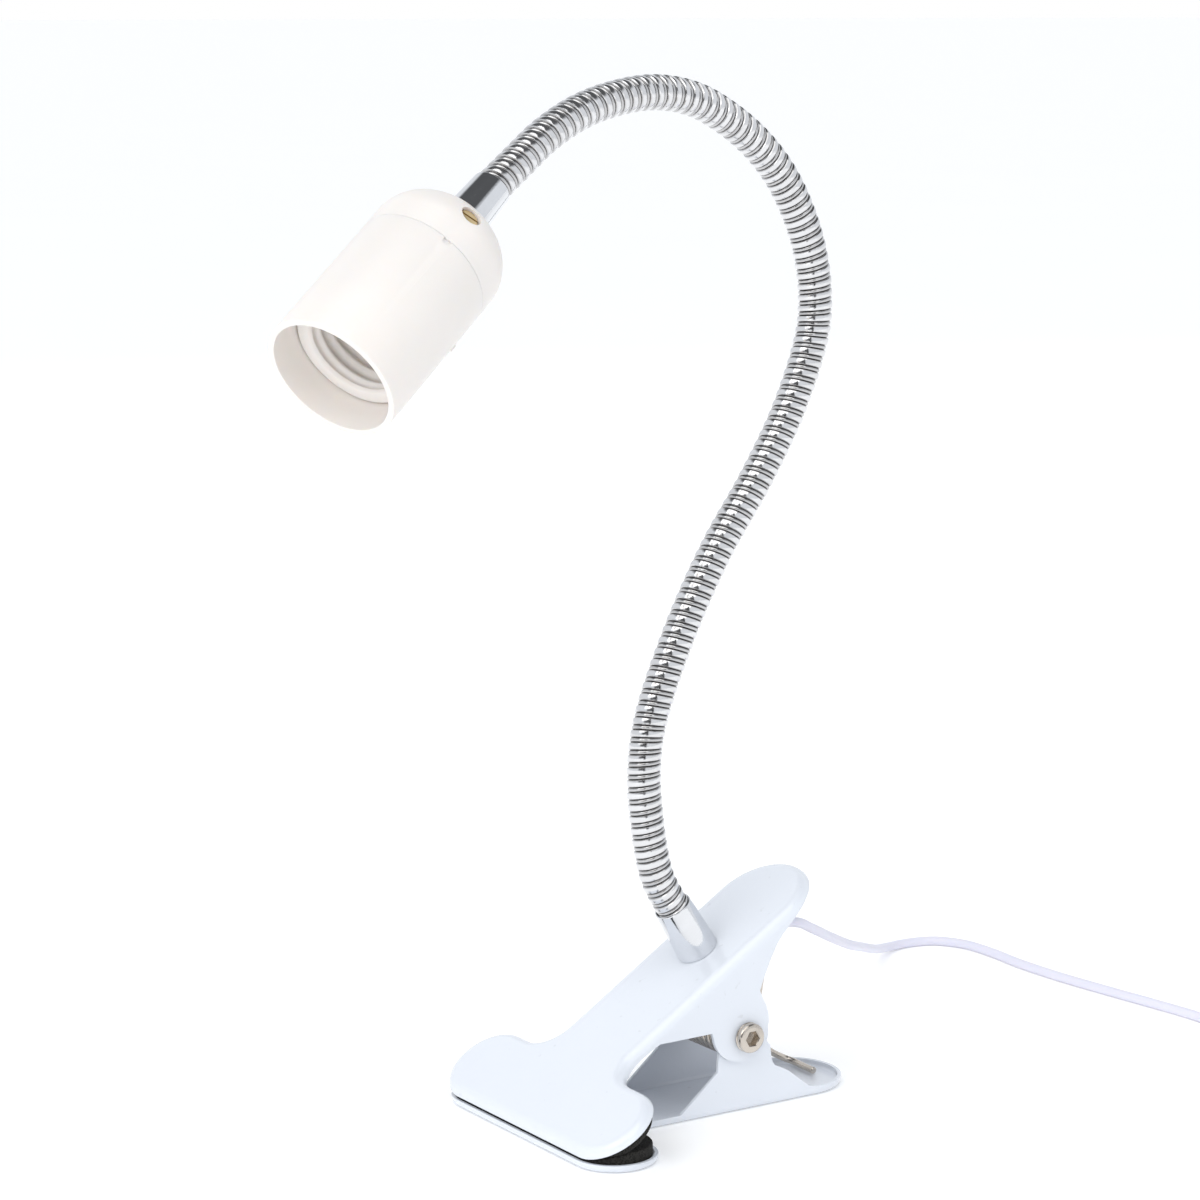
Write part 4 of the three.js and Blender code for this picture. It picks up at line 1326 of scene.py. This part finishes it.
@dataclass
class SupplyCord:
    """Supply cord from the grip to its coil and plug, all lying on the table."""

    diameter: float = 0.003
    exit: Point = (0.0169, 0.0, 0.0446)
    inside: Point = (0.01378, 0.0, 0.04272)
    route: Tuple[Point, ...] = (
        (0.0169, 0, 0.0446), (0.0205, 0, 0.0469), (0.025, 0, 0.0485), (0.030, 0.0002, 0.048),
        (0.0395, 0.0056, 0.0436), (0.051, 0.014, 0.038), (0.066, 0.0277, 0.031), (0.0815, 0.042, 0.024),
        (0.0985, 0.059, 0.017), (0.115, 0.0755, 0.0102), (0.129, 0.089, 0.0048), (0.140, 0.097, 0.0021),
        (0.150, 0.099, 0.0015), (0.159, 0.096, 0.0015), (0.1645, 0.087, 0.0015), (0.1655, 0.074, 0.0015),
        (0.1645, 0.058, 0.0015), (0.165, 0.040, 0.0015), (0.167, 0.020, 0.0015), (0.1695, 0.0, 0.0015),
        (0.1714, -0.018, 0.0015), (0.1719, -0.036, 0.0015),
    )
    coil_centre: Flat = (0.1964, -0.036)
    coil_outer: float = 0.0212
    coil_inner: float = 0.0128
    layers: int = 4
    layer_turns: float = 2.45
    first_height: float = 0.0024
    lift: float = 0.00302
    climb: float = 0.12
    enters_at: float = 250.0
    per_turn: int = 20
    loop_radius: float = 0.014
    plug_x: float = 0.2368
    plug_y: float = -0.046
    plug_height: float = 0.00685
    whole: float = 1.5
    bends_from: Point = (0.0169, 0, 0)
    bends_to: Point = (0.115, 0, 0)
    tie_round: float = -60.0
    tie_slack: float = 0.0008
    tie_low: float = 0.00045
    tie_high: float = 0.01335
    tie_thick: float = 0.00042
    tie_wide: float = 0.0011

    def coil_points(self) -> List[Point]:
        """Centreline of the coil: layer on layer, inward and outward by turns.

        Returns:
            Points in metres, from where the cord joins the coil to where it leaves.
        """
        cx, cy = self.coil_centre
        across = (self.plug_x - self.loop_radius - cx) / (self.coil_outer + self.loop_radius)
        leave = math.degrees(math.acos(across))
        total = self.layers * self.layer_turns * 360.0
        total += (leave - (self.enters_at + total)) % 360.0
        per_layer = total / self.layers
        steps = int(round(total / 360.0 * self.per_turn))
        climb = self.climb
        points: List[Point] = []
        for i in range(steps + 1):
            swept = total * i / steps
            layer = min(self.layers - 1, int(swept / per_layer))
            along = swept / per_layer - layer
            depth = along if layer % 2 == 0 else 1 - along
            radius = self.coil_outer + (self.coil_inner - self.coil_outer) * depth
            rise = 0.0
            if along < climb and layer > 0:
                rise = -0.5 + 0.5 * along / climb
            elif along > 1 - climb and layer < self.layers - 1:
                rise = 0.5 * (along - 1 + climb) / climb
            height = self.first_height + self.lift * (layer + rise)
            angle = math.radians(self.enters_at + swept)
            points.append((cx + radius * math.cos(angle), cy + radius * math.sin(angle), height))
        return points

    def tail_points(self, top: Point) -> List[Point]:
        """Loop from the coil round to the plug, coming down onto the table and up into the plug's neck."""
        cx, cy = self.coil_centre
        x = self.plug_x - self.loop_radius
        y = cy + math.sqrt((self.coil_outer + self.loop_radius) ** 2 - (x - cx) ** 2)
        first = math.degrees(math.atan2(cy - y, cx - x)) % 360.0
        points: List[Point] = []
        steps = 11
        for i in range(1, steps + 1):
            share = i / steps
            angle = math.radians(first * (1 - share))
            ease = 0.5 + 0.5 * math.cos(math.pi * min(1.0, share / 0.9))
            height = self.diameter / 2 + (top[2] - self.diameter / 2) * ease
            spot = Vector((x, y)) + self.loop_radius * Vector((math.cos(angle), math.sin(angle)))
            points.append((spot.x, spot.y, height))
        last_y = points[-1][1]
        for share, height in ((0.2, 0.0016), (0.45, 0.0035), (0.7, 0.0061), (0.88, self.plug_height)):
            points.append((self.plug_x, last_y + (self.plug_y - last_y) * share, height))
        points.append((self.plug_x, self.plug_y - 0.004, self.plug_height))
        return points

    def build(self) -> Tuple[Thing, List[Point]]:
        """Draws the cord as one tube from the grip to the plug.

        Returns:
            The cord, and its centreline in metres.
        """
        coil = self.coil_points()
        metres = [self.inside, *self.route, *coil, *self.tail_points(coil[-1])]
        path = SmoothPath([tuple(c / MM for c in p) for p in metres], 10)
        cord = tube("supply_cord_sheath", path, self.diameter / 2 / MM, 0, path.length, 1.3, 14)
        dress(cord, CORD_WHITE)
        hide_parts("supply_cord", "cord_coil")
        LOG.info("supply cord: %.3f m", path.length * MM)
        return cord, [tuple(float(c) for c in p * MM) for p in path.points[::4]]

    def build_tie(self) -> Thing:
        """Bends the flat tie round the coil's section.

        Returns:
            The tie.
        """
        cx, cy = self.coil_centre
        middle = (self.coil_outer + self.coil_inner) / 2
        angle = math.radians(self.tie_round)
        half = (self.coil_outer - self.coil_inner) / 2 + self.diameter / 2 + self.tie_slack
        low, high = self.tie_low, self.tie_high
        outline = rounded([(-half, low), (half, low), (half, high), (-half, high)], 0.004, 8)
        across = Vector((math.cos(angle), math.sin(angle), 0))
        along = Vector((-math.sin(angle), math.cos(angle), 0))
        centre = Vector((cx, cy, 0)) + across * middle
        ring = [centre + across * u + Vector((0, 0, w)) for u, w in outline]
        count, sides = len(ring), 8
        points = []
        for i, spot in enumerate(ring):
            ahead = (ring[(i + 1) % count] - ring[i - 1]).normalized()
            outward = ahead.cross(along)
            for k in range(sides):
                a = 2 * math.pi * k / sides
                p = spot + outward * self.tie_thick * math.cos(a) + along * self.tie_wide * math.sin(a)
                points.append(tuple(p / MM))
        tie = mesh_object("coil_tie", points, quads(count, sides))
        return settle_piece(tie, TIE_BLACK, "base", "cord_tie")


@dataclass
class Plug:
    """Flat two-pin plug with a tapered, ringed strain relief."""

    x: float
    y: float
    wide: float = 34.0
    thick: float = 13.7
    neck: float = 9.0
    long: float = 30.0
    pin: float = 2.0
    pin_long: float = 19.0
    apart: float = 18.6
    relief: float = 22.0

    def build(self) -> List[Thing]:
        """Moulds the body and turns the pins.

        Returns:
            The body, the strain relief and the pins.
        """
        half, neck, end = self.wide / 2, self.neck, self.neck + self.long
        outline = rounded([(-3, 0), (3, 0), (4, -neck), (half - 3, -neck - 1.2), (half, -neck - 9),
                           (half - 2, -end), (2 - half, -end), (-half, -neck - 9), (3 - half, -neck - 1.2),
                           (-4, -neck)], 3.0, 5)
        body = prism("plug_moulding", outline, 0, self.thick)
        for side in (-1, 1):
            for row in range(4):
                groove = prism("groove", rounded([(-0.5, -5), (0.5, -5), (0.5, 5), (-0.5, 5)], 0.4), -6, 6)
                cut(body, placed(groove, (side * (half - 0.2), -neck - 12 - row * 2.6, self.thick / 2)))
        soften(body, 2.0, 4, 50.0)
        placed(body, (self.x, self.y, 0))
        settle_piece(body, CORD_WHITE, "base", "plug_body")
        rings = 7
        profile: List[Flat] = [(1.62, -1.0)]
        for i in range(rings):
            low = self.relief * i / rings
            grown = 3.3 - 1.3 * (i + 0.5) / rings
            profile += [(grown - 0.4, low), (grown, low + 0.35), (grown, low + self.relief / rings * 0.6),
                        (grown - 0.4, low + self.relief / rings * 0.72)]
        profile += [(1.9, self.relief), (1.62, self.relief)]
        relief = lathe("plug_strain_relief", profile, 40)
        placed(relief, turn=about("X", -90))
        placed(relief, (self.x, self.y - 0.5, self.thick / 2))
        dress(relief, CORD_WHITE)
        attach(relief, "base")
        pieces = [body, relief]
        r, tip = self.pin, self.pin_long
        for name, side in (("l", -1), ("n", 1)):
            pin = lathe(f"plug_pin_turned_{name}", [(0, -7), (r, -7), (r, tip - 1.6), (r - 0.5, tip - 0.5),
                                                    (r - 1.3, tip), (0, tip)], 40, closed=False)
            placed(pin, turn=about("X", 90))
            placed(pin, (self.x + side * self.apart / 2, self.y - end, self.thick / 2))
            settle_piece(pin, BRASS, "base", f"plug_pin_{name}")
            pieces.append(pin)
        return pieces


@dataclass
class CordFittings:
    """What holds the cord and the neck under the plate."""

    lead: float = 1.2
    drop: float = 12.5
    nipple_drop: float = 6.6

    def build(self, clamp: Clamp) -> None:
        """Lays the lead from the neck to the grip and finishes the fittings."""
        u, d = clamp.neck_hole_at, self.drop
        path = SmoothPath([(u, 0, 7.3), (u, 0, 0), (u, 0, -self.nipple_drop), (u + 1.6, 0, -d + 1.7),
                           (u + 5.4, 0, -d), (4, 0, -d), (8, 0, -d)])
        lead = tube("foot_core", path, self.lead, 0, path.length, 1.0, 12)
        clamp.on_plate(lead)
        settle_piece(lead, CORD_WHITE, "upper", "foot_lead")
        dress_nodes(ZINC, "base_washer", "base_nut")
        dress_nodes(BRASS, "base_nipple")
        dress_nodes(CORD_WHITE, "cord_grip")


# ---- studio --------------------------------------------------------------------------------------------

@dataclass
class Studio:
    """Pale floor, large soft lamps, even surroundings and the camera."""

    camera_at: Point = (-0.56346, -0.80404, 0.31302)
    camera_tilt: float = 80.387
    camera_heading: float = -33.107
    lens: float = 105.0
    sensor: float = 36.0
    floor_half: float = 80.0
    card_towards: Point = (-0.78, -0.60, 0.0)
    card_edge: Flat = (0.90, 0.95)
    card_foot: Flat = (0.02, 0.12)
    ceiling_edge: Flat = (0.62, 0.78)
    dark: float = 0.12
    room_white: Colour = (0.93, 0.96, 1.0)
    mirrored_white: Colour = (1.35, 1.39, 1.45)
    surroundings: float = 0.62
    stand_beyond: float = 1.06
    stand_half: float = 0.12
    stand_height: float = 1.1
    sky_power: float = 1.2
    sky_soft: float = 60.0
    sky_aim: Point = (0.45, 0.35, -1.0)
    middle: Point = (0.0, 0.0, 0.13)

    def build_camera(self) -> None:
        """Places the camera."""
        data = bpy.data.cameras.new("camera")
        data.lens = self.lens
        data.sensor_width = self.sensor
        data.clip_start = 0.01
        thing = bpy.data.objects.new("camera", data)
        thing.location = self.camera_at
        thing.rotation_euler = (math.radians(self.camera_tilt), 0.0, math.radians(self.camera_heading))
        bpy.context.scene.collection.objects.link(thing)
        bpy.context.scene.camera = thing

    def build_floor(self) -> None:
        """Lays the pale floor under the lamp."""
        h = self.floor_half / MM
        floor = mesh_object("studio_floor", [(-h, -h, 0), (h, -h, 0), (h, h, 0), (-h, h, 0)], [(0, 1, 2, 3)])
        floor.data.materials.append(FLOOR.material())

    def build_stand(self) -> None:
        """Stands a narrow dark card beyond the camera, which shows only as a line in the bright metal."""
        foot = Vector((self.camera_at[0], self.camera_at[1], 0.0)) * self.stand_beyond
        across = Vector((-foot.y, foot.x, 0.0)).normalized() * self.stand_half
        rise = Vector((0.0, 0.0, self.stand_height))
        corners = (foot - across, foot + across, foot + across + rise, foot - across + rise)
        card = mesh_object("dark_card", [tuple(corner / MM) for corner in corners], [(0, 1, 2, 3)])
        card.data.materials.append(DARK_CARD.material())
        card.visible_camera = False
        card.visible_diffuse = False
        card.visible_shadow = False

    @staticmethod
    def fade(graph: Graph, source: Socket, edge: Flat, level: float) -> Socket:
        """Falls from 1 to a level as the source crosses an edge."""
        return graph.ramp(source, ((edge[0], 1.0), (edge[1], level)))

    def build_world(self) -> None:
        """Makes the surroundings: white all round, with a dark ceiling and card that only metal mirrors."""
        world = bpy.data.worlds.new("studio")
        graph = blank_graph(world)
        light_path = graph.add("LightPath").outputs
        seen, mirrored = light_path["Is Camera Ray"], light_path["Is Glossy Ray"]
        direction = graph.add("TexCoord").outputs["Generated"]
        height = graph.add("SeparateXYZ", {0: direction}).outputs["Z"]
        level = graph.add("VectorMath", {0: direction, 1: (1.0, 1.0, 0.0)}, operation="MULTIPLY")
        bearing = graph.add("VectorMath", {0: level.outputs[0]}, operation="NORMALIZE")
        facing = graph.add("VectorMath", {0: bearing.outputs[0], 1: self.card_towards},
                           operation="DOT_PRODUCT").outputs["Value"]
        beside = self.fade(graph, facing, self.card_edge, self.dark)
        under = self.fade(graph, height, self.card_foot, 0.0)
        card = graph.add("Math", {0: beside, 1: under}, operation="MAXIMUM").outputs[0]
        ceiling = self.fade(graph, height, self.ceiling_edge, self.dark)
        mirror = graph.add("Math", {0: card, 1: ceiling}, operation="MINIMUM").outputs[0]
        lit = graph.mix(mirror, (0.0, 0.0, 0.0, 1.0), rgba(self.mirrored_white))
        light = graph.mix(mirrored, rgba(self.room_white), lit)
        around = graph.add("Background", {"Color": light, "Strength": self.surroundings})
        behind = graph.add("Background", {"Color": (1.0, 1.0, 1.0, 1.0), "Strength": 1.0})
        mix = graph.add("MixShader", {0: seen, 1: around.outputs[0], 2: behind.outputs[0]})
        graph.add("OutputWorld", {"Surface": mix.outputs[0]})
        bpy.context.scene.world = world
        bpy.context.scene.view_settings.view_transform = "Standard"

    @staticmethod
    def hang(data: bpy.types.Light, at: Point, aim: Vector) -> Thing:
        """Hangs a lamp at a place and points it along a direction."""
        thing = bpy.data.objects.new(data.name, data)
        thing.location = at
        thing.rotation_euler = aim.to_track_quat("-Z", "Y").to_euler()
        bpy.context.scene.collection.objects.link(thing)
        return thing

    def build_sky_lamp(self) -> None:
        """Adds the wide even light from high on the left that keeps the floor white out to the horizon."""
        data = bpy.data.lights.new("sky", "SUN")
        data.energy = self.sky_power
        data.angle = math.radians(self.sky_soft)
        self.hang(data, (0.0, 0.0, 0.0), Vector(self.sky_aim))

    def build_lamp(self, name: str, at: Point, size: Flat, power: float, mirrored: bool = False) -> None:
        """Hangs one soft lamp that faces the middle of the object.

        Args:
            name: its name.
            at: where it hangs, in metres.
            size: width and height of its face, in metres.
            power: watts.
            mirrored: whether shiny pieces mirror its face.
        """
        data = bpy.data.lights.new(name, "AREA")
        data.shape = "RECTANGLE"
        data.size, data.size_y = size
        data.energy = power
        self.hang(data, at, Vector(self.middle) - Vector(at)).visible_glossy = mirrored

    def build(self) -> None:
        """Builds the studio."""
        self.build_camera()
        self.build_floor()
        self.build_stand()
        self.build_world()
        self.build_sky_lamp()
        self.build_lamp("key", (-1.5, -0.4, 1.2), (1.1, 0.9), 4.0, mirrored=True)
        self.build_lamp("fill", (1.2, -1.3, 0.7), (0.9, 1.2), 3.5)
        self.build_lamp("back", (0.5, 1.5, 1.1), (1.4, 0.9), 5.0)
        self.build_lamp("low front", (-1.4, -0.7, 0.15), (1.0, 0.5), 5.0)


def main() -> None:
    """Builds the studio and every sub-assembly in order."""
    logging.basicConfig(level=logging.INFO, format="%(message)s")
    Studio().build()
    clamp = Clamp()
    supply = SupplyCord()
    cord, centreline = supply.build()
    tie = supply.build_tie()
    plug = Plug(supply.plug_x / MM, supply.plug_y / MM).build()
    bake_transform(cord)
    clamp.build()
    holder = Holder()
    Gooseneck().build(clamp, holder)
    holder.build()
    CordFittings().build(clamp)
    bpy.context.view_layer.update()


if __name__ == "__main__":
    main()
